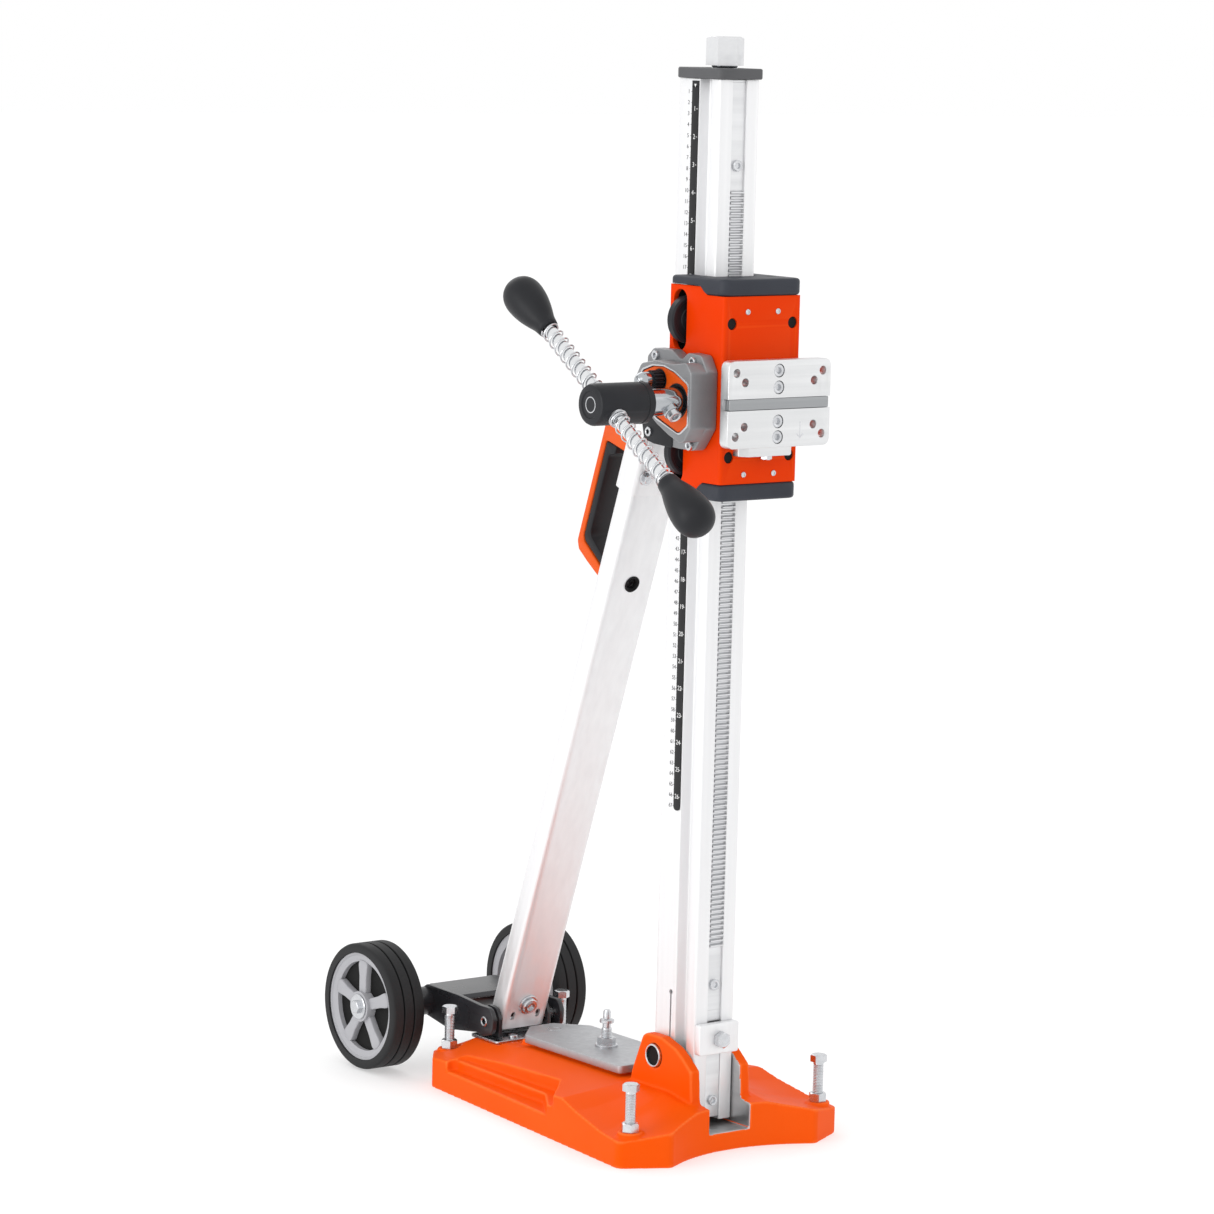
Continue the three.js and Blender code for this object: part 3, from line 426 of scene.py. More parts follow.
def slab(name, outline, axis, low, high, look, body, holes=(), bevel=0.6, replaces=None,
         shade=None):
    mesh = slab_mesh(outline, holes, axis, low, high, bevel)
    return place(mesh, name, look, body, replaces, shade=shade)

# ------------------------------------------------------------------ the CAD nodes' finishes

SLOT_OF = {part["node"]: part["material_slot"] for part in frame["record"]["subparts"]}
for node_name, node_object in frame["nodes"].items():
    node_object.data.materials.clear()
    node_object.data.materials.append(LOOKS[SLOT_OF[node_name]])
    node_object.data.shade_smooth()
    node_object.data.set_sharp_from_angle(angle=math.radians(30))

# ------------------------------------------------------------------ base casting

BASE = {"side_front_y": -57, "side_front": 130, "side_back_y": 290, "side_back": 94.3,
        "deck": 42, "foot_x": 85.5, "foot_y": -81, "hollow_y": -56, "back_y": 314, "back_x": 76,
        "slot": 23.5, "ear": 11.5, "slot_floor": 18}
DECK_HEIGHT = [(-57, 42), (-45, 44), (-10, 50), (200, 50), (255, 45), (290, 43.5), (316, 32)]
EDGE_HEIGHT = [(-57, 25), (-25, 28), (20, 37), (45, 44), (262, 31), (290, 29), (316, 28)]
HOLLOWNESS = [(-57, 1.2), (-20, 2.0), (20, 1.8), (45, 1.0)]


def between(table, at):
    """A value from a table of (place, value), going straight from one to the next."""
    if at <= table[0][0]:
        return table[0][1]
    for (a, low), (b, high) in zip(table, table[1:]):
        if at <= b:
            return low + (high - low) * (at - a) / (b - a)
    return table[-1][1]


def side_half_width(y):
    slope = (BASE["side_back"] - BASE["side_front"]) / (BASE["side_back_y"] - BASE["side_front_y"])
    return BASE["side_front"] + slope * (y - BASE["side_front_y"])


def skin_height(x, y):
    deck, edge = between(DECK_HEIGHT, y), between(EDGE_HEIGHT, y)
    reach = (abs(x) - BASE["deck"]) / (side_half_width(y) - BASE["deck"])
    return edge + (deck - edge) * max(0.0, min(1.0, 1 - reach)) ** between(HOLLOWNESS, y)


def base_skin():
    """The casting's body: cross-sections every few millimetres under its top surface."""
    mesh = bmesh.new()
    rows = []
    for y in [-95 + 5 * i for i in range(86)]:
        edge = side_half_width(y) + 2
        steps = [-1 + 2 * i / 56 for i in range(57)]
        top = [(edge * s, y, skin_height(edge * s, y)) for s in steps]
        loop = [(edge, y, -2), (-edge, y, -2), *top]
        rows.append([mesh.verts.new(Vector(p) * MM) for p in loop])
    for a, b in zip(rows, rows[1:]):
        for i in range(len(a)):
            j = (i + 1) % len(a)
            mesh.faces.new((a[i], a[j], b[j], b[i]))
    mesh.faces.new(rows[0][::-1])
    mesh.faces.new(rows[-1])
    return finish_mesh(mesh)


def base_outline():
    b = BASE
    right = [(b["foot_x"], b["foot_y"], 9), (b["side_front"], b["side_front_y"], 9),
             (b["side_back"], b["side_back_y"], 6), (b["back_x"], b["back_y"], 8)]
    left = [(-x, y, r) for x, y, r in right[::-1]]
    front = []
    for i in range(1, 24):
        x = -b["foot_x"] + 2 * b["foot_x"] * i / 24
        front.append((x, b["hollow_y"] + (b["foot_y"] - b["hollow_y"]) * (x / b["foot_x"]) ** 2, 0))
    return fillet([*right, *left, *front], steps=6)


EAR = [(-44.3, 30, 0), (-41, 75, 3), (-27, 86, 6), (-17, 92.5, 20), (5, 99.3, 6), (28, 99, 5),
       (33, 96, 4), (49, 59, 8), (53, 30, 0)]


def prism(outline, axis, low, high):
    return slab_mesh(outline, [], axis, low, high, bevel=0.0)


def recess(side, start, stop, inset_back, inset_front, lead, floor):
    """One step of the pocket along a side of the base."""
    corners = [(side_half_width(stop) - inset_back, stop, 8),
               (side_half_width(start + lead) - inset_front, start + lead, 14),
               (side_half_width(start) + 8, start, 0), (side_half_width(stop) + 8, stop, 0)]
    outline = fillet([(side * x, y, r) for x, y, r in corners], steps=5)
    return prism(outline, "z", floor, 90)


def combine(target, tool_mesh, operation):
    tool = bpy.data.objects.new("tool", tool_mesh)
    SCENE.collection.objects.link(tool)
    modifier = target.modifiers.new("boolean", "BOOLEAN")
    modifier.operation = operation
    modifier.solver = "EXACT"
    modifier.object = tool
    apply_modifiers(target)
    bpy.data.objects.remove(tool)


def apply_modifiers(piece):
    evaluated = piece.evaluated_get(bpy.context.evaluated_depsgraph_get())
    data = bpy.data.meshes.new_from_object(evaluated)
    piece.modifiers.clear()
    old = piece.data
    piece.data = data
    bpy.data.meshes.remove(old)


def soften(piece, voxel, rounds):
    """Gives a carved block the soft edges of a casting."""
    remesh = piece.modifiers.new("remesh", "REMESH")
    remesh.mode = "VOXEL"
    remesh.voxel_size = voxel * MM
    smooth = piece.modifiers.new("smooth", "SMOOTH")
    smooth.factor = 0.5
    smooth.iterations = rounds
    apply_modifiers(piece)


LEVELLING = {name: centre(name) for name in frame["nodes"] if name.startswith("levelling_screw")}


PIVOT_BORE = 11.3
ANCHOR_PAD = rounded_box(0, 148, 33, 82, 8)
ANCHOR_SLOT = rounded_box(0, 155, 9, 71, 8.9)
HINGE_SEAT = {"outline": rect(-46, 46, 246, 300), "floor": 43}
SCREW_BOSS, SCREW_SEAT, SCREW_BORE = 11.5, 12, 5.3
POCKET_STEPS = (  # start, stop, inset at the back and at the front, lead, floor
    (50, 259, 20, 34, 50, 32),
    (56, 262, 11, 20, 50, 22))


def base_casting():
    body = bpy.data.objects.new("base_work", base_skin())
    SCENE.collection.objects.link(body)
    combine(body, prism(base_outline(), "z", 0, 120), "INTERSECT")
    inner, outer = BASE["slot"], BASE["slot"] + BASE["ear"]
    seats = {name: span(name.replace("levelling_screw", "lock_nut"))[0].z - 0.3
             for name in LEVELLING}
    adds = [prism(fillet(EAR), "x", inner, outer), prism(fillet(EAR), "x", -outer, -inner),
            prism(ANCHOR_PAD, "z", 40, span("anchor_plate")[0].z - 0.3)]
    adds += [prism(circle(spot.x, spot.y, SCREW_BOSS), "z", 10, seats[name])
             for name, spot in LEVELLING.items()]
    for mesh in adds:
        combine(body, mesh, "UNION")
    slot = [(-110, BASE["slot_floor"]), (38, BASE["slot_floor"]), (50, 44), (50, 130), (-110, 130)]
    pivot = centre("pivot_tube")
    cuts = [prism(slot, "x", -inner, inner),
            prism(ANCHOR_SLOT, "z", -5, 80),
            prism(HINGE_SEAT["outline"], "z", HINGE_SEAT["floor"], 80),
            prism(circle(pivot.y, pivot.z, PIVOT_BORE), "x", -60, 60)]
    cuts += [recess(side, *step) for side in (1, -1) for step in POCKET_STEPS]
    for name, spot in LEVELLING.items():
        cuts.append(prism(circle(spot.x, spot.y, SCREW_SEAT), "z", seats[name], 90))
        cuts.append(prism(circle(spot.x, spot.y, SCREW_BORE), "z", -5, 60))
    cuts.append(underside_bays())
    for mesh in cuts:
        combine(body, mesh, "DIFFERENCE")
    soften(body, 1.3, 4)
    mesh = body.data
    bpy.data.objects.remove(body)
    place(mesh, "base_casting_fine", "orange_paint", "base", "base_casting", smooth=50)
    bare_slot(mesh)


def bare_slot(mesh):
    """The slot that the column stands in is machined after painting."""
    mesh.materials.append(SHADE["bare_casting"])
    for face in mesh.polygons:
        spot = face.center / MM
        wall = abs(abs(spot.x) - BASE["slot"]) < 0.7 and abs(face.normal.x) > 0.8
        floor = abs(spot.x) < BASE["slot"] and abs(spot.z - BASE["slot_floor"]) < 0.9
        if (wall or floor) and spot.y < 50 and spot.z > 10:
            face.material_index = 1


def underside_bays():
    """Shallow bays between the ribs under the base."""
    mesh = bmesh.new()
    for start, stop in ((72, 146), (154, 226), (234, 300)):
        for side in (1, -1):
            corners = [(16, start), (side_half_width(start) - 30, start),
                       (side_half_width(stop) - 28, stop), (16, stop)]
            outline = fillet([(side * x, y) for x, y in corners], 5)
            part = prism(outline, "z", -5, 30)
            mesh.from_mesh(part)
            bpy.data.meshes.remove(part)
    return finish_mesh(mesh)

# ------------------------------------------------------------------ fasteners


def hex_head(name, centre_at, axis, across, height, look, body, replaces=None, turn=30, rise=0.8):
    """A hexagon head or nut: flats with a rounded chamfer cut on its outer face."""
    radius = across / math.sqrt(3)
    frame_to = turn_frame(axis, centre_at)
    mesh = bmesh.new()
    outline = [Vector((radius * math.cos(math.radians(60 * i + turn)),
                       radius * math.sin(math.radians(60 * i + turn)))) for i in range(6)]
    ring = []
    for i in range(6):
        for k in range(6):
            ring.append(outline[i].lerp(outline[(i + 1) % 6], k / 6))
    low = [mesh.verts.new(frame_to @ Vector((p.x, p.y, 0)) * MM) for p in ring]
    flat = across / 2
    drop = [rise * max(0.0, (p.length - flat * 0.98) / (radius - flat * 0.98)) for p in ring]
    high = [mesh.verts.new(frame_to @ Vector((p.x, p.y, height - 0.25 - d)) * MM)
            for p, d in zip(ring, drop)]
    cap = [mesh.verts.new(frame_to @ Vector((*(p.normalized() * flat * 0.93), height)) * MM)
           for p in ring]
    for a, b in ((low, high), (high, cap)):
        for i in range(len(a)):
            j = (i + 1) % len(a)
            mesh.faces.new((a[i], a[j], b[j], b[i]))
    mesh.faces.new(low[::-1])
    mesh.faces.new(cap)
    return place(finish_mesh(mesh), name, look, body, replaces, smooth=25)


def thread_profile(radius, low, high, pitch=1.5):
    """The outline of a bolt's threads, as rings along the axis."""
    depth = 0.5
    points = [(0, low), (radius - depth, low)]
    turns = int((high - low - 1) / pitch)
    for i in range(turns):
        along = low + 0.5 + i * pitch
        points += [(radius - depth, along), (radius, along + 0.45 * pitch),
                   (radius, along + 0.6 * pitch)]
    return [*points, (radius - depth, high - 0.2), (radius - depth, high), (0, high)]


def socket_screw(name, at, axis, radius, height, look, body):
    """A cap screw's head with its hexagon socket, sitting on a surface."""
    socket = radius * 0.52
    profile = [(0, height * 0.35), (socket, height * 0.35), (socket, height - 0.2),
               (socket + 0.3, height), (radius - 0.5, height), (radius, height - 0.5),
               (radius, 0.2), (radius - 0.2, 0), (0, 0)]
    mesh = lathe_mesh(profile, axis, at, 48)
    return place(mesh, name, look, body)


def levelling_screws():
    for name, spot in LEVELLING.items():
        low, high = span(name)
        head = 7
        tag = name.replace("levelling_screw_", "")
        body = "level_" + tag
        turned(name + "_shank", thread_profile(5, low.z, high.z - head + 0.5), Z,
               (spot.x, spot.y, 0), "zinc_steel", body, name, sides=32)
        hex_head(name + "_head", (spot.x, spot.y, high.z - head), Z, 13.8, head,
                 "zinc_steel", body)
        nut_low, nut_high = span("lock_nut_" + tag)
        hex_head("lock_nut_" + tag + "_fine", (spot.x, spot.y, nut_low.z), Z, 14.8,
                 nut_high.z - nut_low.z, "zinc_steel", "base", "lock_nut_" + tag, turn=0)


def anchor():
    low, high = span("anchor_plate")
    w, y0, y1 = high.x, low.y, high.y
    outline = fillet([(w, y0, 5), (w, y1 - 28, 5), (14, y1, 4), (-14, y1, 4), (-w, y1 - 28, 5),
                      (-w, y0, 5)], 3)
    stud = centre("anchor_stud")
    slab("anchor_plate_fine", outline, "z", low.z, high.z, "dark_steel", "base",
         holes=[circle(0, stud.y, 8)], bevel=0.9, replaces="anchor_plate",
         shade="plate_zinc")
    ring = [circle(0, y1 - 22, 7.2, 40), circle(0, y1 - 22, 6.2, 40)]
    slab("anchor_plate_mark", ring[0], "z", high.z - 0.3, high.z + 0.15, "zinc_steel", "base",
         holes=[ring[1]], bevel=0.05)
    nut_low, nut_high = span("anchor_nut")
    turned("anchor_washer", [(5.2, 0), (11, 0), (11, 1.6), (10.6, 2), (5.2, 2), (5.2, 0)],
           Z, (0, stud.y, high.z + 0.05), "zinc_steel", "base", sides=48)
    hex_head("anchor_nut_fine", (0, stud.y, nut_low.z + 1.8), Z, 15.6,
             nut_high.z - nut_low.z - 1.8, "zinc_steel", "base", "anchor_nut")
    stud_low, stud_high = span("anchor_stud")
    top = stud_high.z
    profile = [(0, stud_low.z), (6.4, stud_low.z), (6.4, 12), (5, 14)]
    profile += thread_profile(5, 15, 79)[1:-1]
    profile += [(4, 79.5), (4, 83.6), (6.6, 84), (7, 84.4), (7, 86.6), (6.6, 87), (3.6, 88),
                (3.6, top - 2), (2.6, top), (0, top)]
    turned("anchor_stud_fine", profile, Z, (0, stud.y, 0), "zinc_steel", "base",
           "anchor_stud", sides=40)


def pivot_tube():
    low, high = span("pivot_tube")
    at = centre("pivot_tube")
    x0, x1 = low.x, high.x
    mouth = 6
    profile = [(7.4, x0 + mouth), (9.2, x0 + mouth), (9.2, x0 + 0.5), (9.6, x0), (10.4, x0),
               (11, x0 + 0.6), (11, x1 - 0.6), (10.4, x1), (9.6, x1), (9.2, x1 - 0.5),
               (9.2, x1 - mouth), (7.4, x1 - mouth), (7.4, x0 + mouth)]
    turned("pivot_tube_fine", profile, X, (0, at.y, at.z), "zinc_steel", "base", "pivot_tube")
    # Black discs inside both ends of the tube: painted shade for the dark bore.
    for tag, near, far in (("left", x0 + 2.5, x0 + mouth), ("right", x1 - mouth, x1 - 2.5)):
        turned("pivot_bore_" + tag, rect(0, 9.1, near, far), X,
               (0, at.y, at.z), "black_plastic", "base", shade="deep_black")

# ------------------------------------------------------------------ column

COLUMN_SHAPE = {"front": 30.5, "half": 23, "track_floor": 12.8, "track_from": -18,
                "track_to": -0.6, "rack_half": 8.2, "rack_depth": 11, "slot_half": 6.2, "wall": 4}
SLIT = {"from": 5.6, "to": 7.8, "top": 141, "end_radius": 2.4}
RACK_FACE = -28.2
RACK_SCREWS = (911, 152)


def column_outline():
    c = COLUMN_SHAPE
    half, deep, floor = c["half"], c["front"], c["track_floor"]
    right = [(c["rack_half"], c["rack_depth"] - deep, 0.4), (c["rack_half"], -deep, 0.5),
             (half, -deep, 3), (half, c["track_from"], 1.2),
             (floor, c["track_from"] + 4, 1.5), (floor, c["track_to"] - 2, 1.5),
             (half, c["track_to"], 1.2), (half, deep, 3), (c["slot_half"], deep, 0.6),
             (c["slot_half"], deep - c["wall"], 0.4), (11, deep - c["wall"], 0.6),
             (11, deep - c["wall"] - 6, 0.8)]
    return fillet([*right, *[(-x, y, r) for x, y, r in right[::-1]]], steps=4)


def column_profile():
    low, high = COLUMN
    chamber = rounded_box(0, 10, 18.5, 7, 1.5, 4)
    solid = slab_mesh(column_outline(), [chamber], "z", low.z, high.z, bevel=0.25)
    pivot = centre("pivot_tube")
    cuts = [prism(circle(pivot.y, pivot.z, PIVOT_BORE), "x", -40, 40)]
    for side in (1, -1):
        x0, x1 = sorted((side * 14, side * 30))
        cuts += [prism(rect(SLIT["from"], SLIT["to"], 20, SLIT["top"]), "x", x0, x1),
                 prism(circle((SLIT["from"] + SLIT["to"]) / 2, SLIT["top"], SLIT["end_radius"],
                              24), "x", x0, x1)]
    carved("column_profile_fine", solid, cuts, "aluminium", "column", "column_profile",
           smooth=22)


def gear_rack():
    place(frame["nodes"]["gear_rack"].data.copy(), "gear_rack_fine", "dark_steel", "column",
          "gear_rack", smooth=15, shade="bright_zinc")


def rack_screws():
    for index, height in enumerate(RACK_SCREWS):
        socket_screw(f"rack_screw_{index}", (0, RACK_FACE, height), -Y, 5.2, 2.6,
                     "zinc_steel", "column")


def rack_seat():
    """The packing on both sides of the rack, and the plain bars below and above its teeth."""
    low, high = span("gear_rack")
    wall = COLUMN_SHAPE["rack_half"] - 0.05
    stop = span("stop_block")[1].z + 0.3
    for tag, a, b in (("left", -wall, low.x - 0.05), ("right", high.x + 0.05, wall)):
        side = rect(a, b, low.z, high.z)
        slab("rack_packing_" + tag, side, "y", -28, -20, "zinc_steel", "column", bevel=0.1,
             shade="bright_zinc")
    for tag, a, b in (("foot", stop, low.z - 0.1), ("head", high.z + 0.1, COLUMN[1].z - 0.1)):
        slab("rack_" + tag, rect(-wall, wall, a, b), "y", RACK_FACE, -20, "zinc_steel",
             "column", bevel=0.2, shade="bright_zinc")


def printed(marks, name, look, body, shade):
    """Joins flat printed marks into one thin piece."""
    mesh = bmesh.new()
    for mark in marks:
        mesh.from_mesh(mark)
        bpy.data.meshes.remove(mark)
    data = bpy.data.meshes.new(name)
    mesh.to_mesh(data)
    mesh.free()
    place(data, name, look, body, smooth=10, shade=shade)


def number_mark(text, size, x, y, z, depth=0.12):
    """A printed number on the column's left face, upright, centred on a point."""
    curve = bpy.data.curves.new("number", "FONT")
    curve.body = text
    curve.size = size
    curve.align_x = "CENTER"
    curve.align_y = "CENTER"
    curve.extrude = depth / 2
    curve.resolution_u = 3
    holder = bpy.data.objects.new("number", curve)
    SCENE.collection.objects.link(holder)
    data = bpy.data.meshes.new_from_object(holder.evaluated_get(
        bpy.context.evaluated_depsgraph_get()))
    bpy.data.objects.remove(holder)
    bpy.data.curves.remove(curve)
    on_face = Matrix(((0, 0, -1, x), (-1, 0, 0, y), (0, 1, 0, z), (0, 0, 0, 1)))
    data.transform(Matrix.Scale(MM, 4) @ on_face)
    return data


def tick_mark(x, y0, y1, z, height, depth=0.12):
    return prism(rect(y0, y1, z - height / 2, z + height / 2), "x", x - depth / 2, x + depth / 2)


SCALE_ZERO = 986.7
INCH, CENTIMETRE = 25.4, 10


def scale():
    low, high = span("scale_strip")
    strip = [(low.y, low.z, 4.6), (low.y, high.z, 1), (high.y, high.z, 1), (high.y, low.z, 4.6)]
    slab("scale_strip_fine", fillet(strip, steps=8), "x", low.x, high.x, "scale_black", "column",
         bevel=0.15, replaces="scale_strip")
    white, black = [], []
    middle = (low.y + high.y) / 2
    for count in range(1, int((SCALE_ZERO - low.z) / INCH) + 1):
        z = SCALE_ZERO - INCH * count
        white.append(number_mark(str(count), 6.2, low.x - 0.02, middle, z))
        white.append(tick_mark(low.x - 0.02, low.y + 0.4, low.y + 2.2, z, 0.5))
    for count in range(1, int((SCALE_ZERO - low.z) / CENTIMETRE) + 1):
        z = SCALE_ZERO - CENTIMETRE * count
        black.append(number_mark(str(count), 5.4, COLUMN[0].x - 0.05, high.y + 5.6, z))
        black.append(tick_mark(COLUMN[0].x - 0.05, high.y + 0.6, high.y + 2.2, z, 0.5))
        black.append(tick_mark(COLUMN[0].x - 0.05, high.y + 0.6, high.y + 1.5, z + 5, 0.35))
    end = rect(low.y, high.y, high.z - 1, high.z + 5)
    slab("scale_strip_end", end, "x", low.x, high.x, "scale_black", "column", bevel=0.15)
    white.append(prism([(middle - 1.6, high.z + 2), (middle + 1.6, high.z + 2),
                        (middle, high.z - 1)], "x", low.x - 0.08, low.x + 0.04))
    printed(white, "scale_inches", "scale_black", "column", "white_print")
    printed(black, "scale_centimetres", "scale_black", "column", "black_print")


def stop_block():
    low, high = span("stop_block")
    outline = fillet(rect(low.x, high.x, low.z, high.z), 2.5)
    bolt = centre("stop_bolt")
    slab("stop_block_fine", outline, "y", low.y, high.y, "aluminium", "column",
         holes=[circle(bolt.x, bolt.z, 4.4)], bevel=0.8, replaces="stop_block")
    head_low = span("stop_bolt")[0]
    hex_head("stop_bolt_fine", (bolt.x, low.y - 0.2, bolt.z), -Y, 13.8,
             low.y - 0.2 - head_low.y, "zinc_steel", "column", "stop_bolt")
    turned("stop_bolt_shank", rect(0, 3.9, 24, 39.2), -Y,
           (bolt.x, 0, bolt.z), "zinc_steel", "column", sides=32)
    half = COLUMN_SHAPE["rack_half"] - 0.05
    bar = [(-half, COLUMN[0].z + 3), (half, COLUMN[0].z + 3), (half, low.z - 1),
           (-half, low.z - 1)]
    slab("foot_bar", bar, "y", -29.6, -20.5, "zinc_steel", "column", bevel=0.5,
         shade="bright_zinc")
    socket_screw("foot_bar_screw", (0, -29.6, 42), -Y, 5, 3, "zinc_steel", "column")


JACK_HEAD = 1001


def column_cap():
    low, high = span("column_cap")
    middle = (low + high) / 2
    outline = rounded_box(middle.x, middle.y, high.x, (high.y - low.y) / 2, 7)
    jack = centre("jack_screw")
    slab("column_cap_fine", outline, "z", low.z, high.z, "grey_plastic", "column",
         holes=[circle(jack.x, jack.y, 12.6)], bevel=1.6, replaces="column_cap",
         shade="cap_grey")
    jack_low, jack_high = span("jack_screw")
    head = hex_head("jack_screw_head", (jack.x, jack.y, JACK_HEAD), Z, 30.2,
                    jack_high.z - JACK_HEAD, "chrome", "jack", "jack_screw", rise=1.6)
    head.data.materials[0] = SHADE["bright_zinc"]
    turned("jack_screw_shank", thread_profile(12, jack_low.z, JACK_HEAD + 1, 2), Z,
           (jack.x, jack.y, 0), "chrome", "jack")

# ------------------------------------------------------------------ carriage

CAR_Z = (CARRIAGE[0].z + CARRIAGE[1].z) / 2
CAR_HALF = (CARRIAGE[1].z - CARRIAGE[0].z) / 2
STEP_HALF = 85
ROLLERS = {name: centre(name) for name in frame["nodes"] if name.startswith("guide_roller")}


def obround(a, low, high, radius, steps=20):
    top = [(a + radius * math.cos(math.pi * i / steps),
            high - radius + radius * math.sin(math.pi * i / steps)) for i in range(steps + 1)]
    foot = [(a - radius * math.cos(math.pi * i / steps),
             low + radius - radius * math.sin(math.pi * i / steps)) for i in range(steps + 1)]
    return top + foot


def bevelled(piece, width, segments=3, angle=30):
    """Rounds the sharp edges of a finished block."""
    mesh = bmesh.new()
    mesh.from_mesh(piece.data)
    bmesh.ops.remove_doubles(mesh, verts=mesh.verts, dist=1e-6)
    bmesh.ops.dissolve_limit(mesh, angle_limit=math.radians(0.5), verts=mesh.verts,
                             edges=mesh.edges)
    sharp = [edge for edge in mesh.edges
             if edge.is_manifold and edge.calc_face_angle(0) > math.radians(angle)]
    bmesh.ops.bevel(mesh, geom=sharp, offset=width * MM, segments=segments, profile=0.5,
                    affect="EDGES", clamp_overlap=True)
    bmesh.ops.triangulate(mesh, faces=[f for f in mesh.faces if len(f.verts) > 4])
    mesh.to_mesh(piece.data)
    mesh.free()


def carved(name, solid, cuts, look, body, replaces, bevel=0.0, frame_to=None, adds=(),
           smooth=35.0, shade=None):
    """A block with pieces joined to it and cut from it, its edges rounded if bevel is given."""
    work = bpy.data.objects.new(name + "_work", solid)
    SCENE.collection.objects.link(work)
    for mesh in adds:
        combine(work, mesh, "UNION")
    for mesh in cuts:
        combine(work, mesh, "DIFFERENCE")
    if frame_to:
        work.data.transform(frame_to)
    if bevel:
        bevelled(work, bevel)
    data = work.data
    bpy.data.objects.remove(work)
    return place(data, name, look, body, replaces, smooth, shade)


def carriage_housing():
    low, high = CARRIAGE
    wall = 5
    outer = fillet([(high.x, high.y, 0.8), (high.x, low.y, 4), (low.x, low.y, 4),
                    (low.x, high.y, 0.8), (low.x + wall, high.y, 0.8),
                    (low.x + wall, low.y + wall, 4), (high.x - wall, low.y + wall, 4),
                    (high.x - wall, high.y, 0.8)], steps=8)
    solid = prism(outer, "z", low.z, high.z)
    cuts = []
    for sign in (1, -1):
        step = [(-120, CAR_Z + sign * STEP_HALF), (-47, CAR_Z + sign * STEP_HALF),
                (-38, CAR_Z + sign * (CAR_HALF + 0.5)), (-38, CAR_Z + sign * 110),
                (-120, CAR_Z + sign * 110)]
        cuts.append(prism(step, "x", -80, 80))
    for spot in ROLLERS.values():
        x0, x1 = sorted((math.copysign(30, spot.x), math.copysign(60, spot.x)))
        cuts.append(prism(obround(spot.y, spot.z - 28, spot.z + 28, 9.7), "x", x0, x1))
        cuts.append(prism(circle(spot.x, spot.z, 5.4, 32), "y", low.y - 5, low.y + 12))
    cuts.append(prism(circle(FEED.y, FEED.z, 17.5), "x", -60, -20))
    cuts.append(prism(circle(FEED.y, FEED.z, 8.2), "x", 20, 60))
    cuts.append(prism(circle(REDUCTION.y, REDUCTION.z, 9), "x", -60, -20))
    # The housing is shown in the darker copy of the orange paint: painted shade.
    carved("carriage_housing_fine", solid, cuts, "orange_paint", "carriage",
           "carriage_housing", bevel=0.7, shade="deep_orange")


def carriage_cap(tag, sign):
    low, high = span("carriage_cap_" + tag)
    middle = (low + high) / 2
    outer = fillet([(high.x, low.y, 11), (high.x, high.y, 7), (low.x, high.y, 7),
                    (low.x, low.y, 11)], steps=8)
    work = slab_mesh(outer, [], "z", low.z, high.z, bevel=3)
    seat = [(-46.8, CAR_Z + sign * 60), (-46.8, CAR_Z + sign * (STEP_HALF + 0.3)),
            (-37.8, CAR_Z + sign * (CAR_HALF + 0.8)), (40, CAR_Z + sign * (CAR_HALF + 0.8)),
            (40, CAR_Z + sign * 60)]
    passage = prism(rect(-24.6, 24.6, -33, 40), "z", low.z - 30, high.z + 30)
    carved(f"carriage_cap_{tag}_fine", work, [prism(seat, "x", -80, 80), passage],
           "grey_plastic", "carriage", "carriage_cap_" + tag)
    for side in (-1, 1):
        face = high.z if sign > 0 else low.z
        turned(f"cap_screw_{tag}_{side + 1}", [(0, -0.6), (2.2, -0.6), (2.4, 0.1), (4.4, 0.1),
               (4.4, -0.4), (0, -0.4)], Z * sign, (side * 34, middle.y - 6, face),
               "black_plastic", "carriage", sides=32)


def carriage_caps():
    carriage_cap("top", 1)
    carriage_cap("bottom", -1)


def rollers():
    for name, spot in ROLLERS.items():
        low, high = span(name)
        tag = name.replace("guide_roller_", "")
        half, radius, bore = (high.y - low.y) / 2, (high.z - low.z) / 2, 6.2
        profile = [(bore, -half), (11, -half), (11.6, -half + 0.8), (17.4, -half + 0.8),
                   (18, -half), (radius - 1.6, -half), (radius, -half + 1.6),
                   (radius, half - 1.6), (radius - 1.6, half), (18, half), (17.4, half - 0.8),
                   (11.6, half - 0.8), (11, half), (bore, half), (bore, -half)]
        turned(name + "_fine", profile, Y, spot, "black_plastic", "roller_" + tag, name)
        axle_low, axle_high = span("roller_axle_" + tag)
        axle = [(0, axle_low.y), (2, axle_low.y), (2.2, axle_low.y + 1), (4, axle_low.y + 1),
                (4.5, axle_low.y + 1.6), (4.5, spot.y - half - 3), (5.8, spot.y - half - 3),
                (5.8, axle_high.y - 0.6), (5.2, axle_high.y), (0, axle_high.y)]
        turned("roller_axle_fine_" + tag, axle, Y, (spot.x, 0, spot.z), "dark_steel",
               "carriage", "roller_axle_" + tag, sides=40)
        # A black disc in each axle hole of the front wall: painted shade for the dark hole.
        turned("roller_axle_plug_" + tag, [(0, 1.2), (4.8, 1.2), (5.2, 1.6), (5.2, 2.4), (0, 2.4)],
               Y, (spot.x, CARRIAGE[0].y, spot.z), "black_plastic", "carriage", sides=40,
               shade="deep_black")
        # A black sheet behind each roller's slot: painted shade for the dark inside of the slot.
        x0, x1 = sorted((math.copysign(24.6, spot.x), math.copysign(39.6, spot.x)))
        shield = rect(x0, x1, spot.z - 30, spot.z + 30)
        slab("roller_shield_" + tag, shield, "y", 1.5, 3.5, "black_plastic", "carriage",
             shade="deep_black")


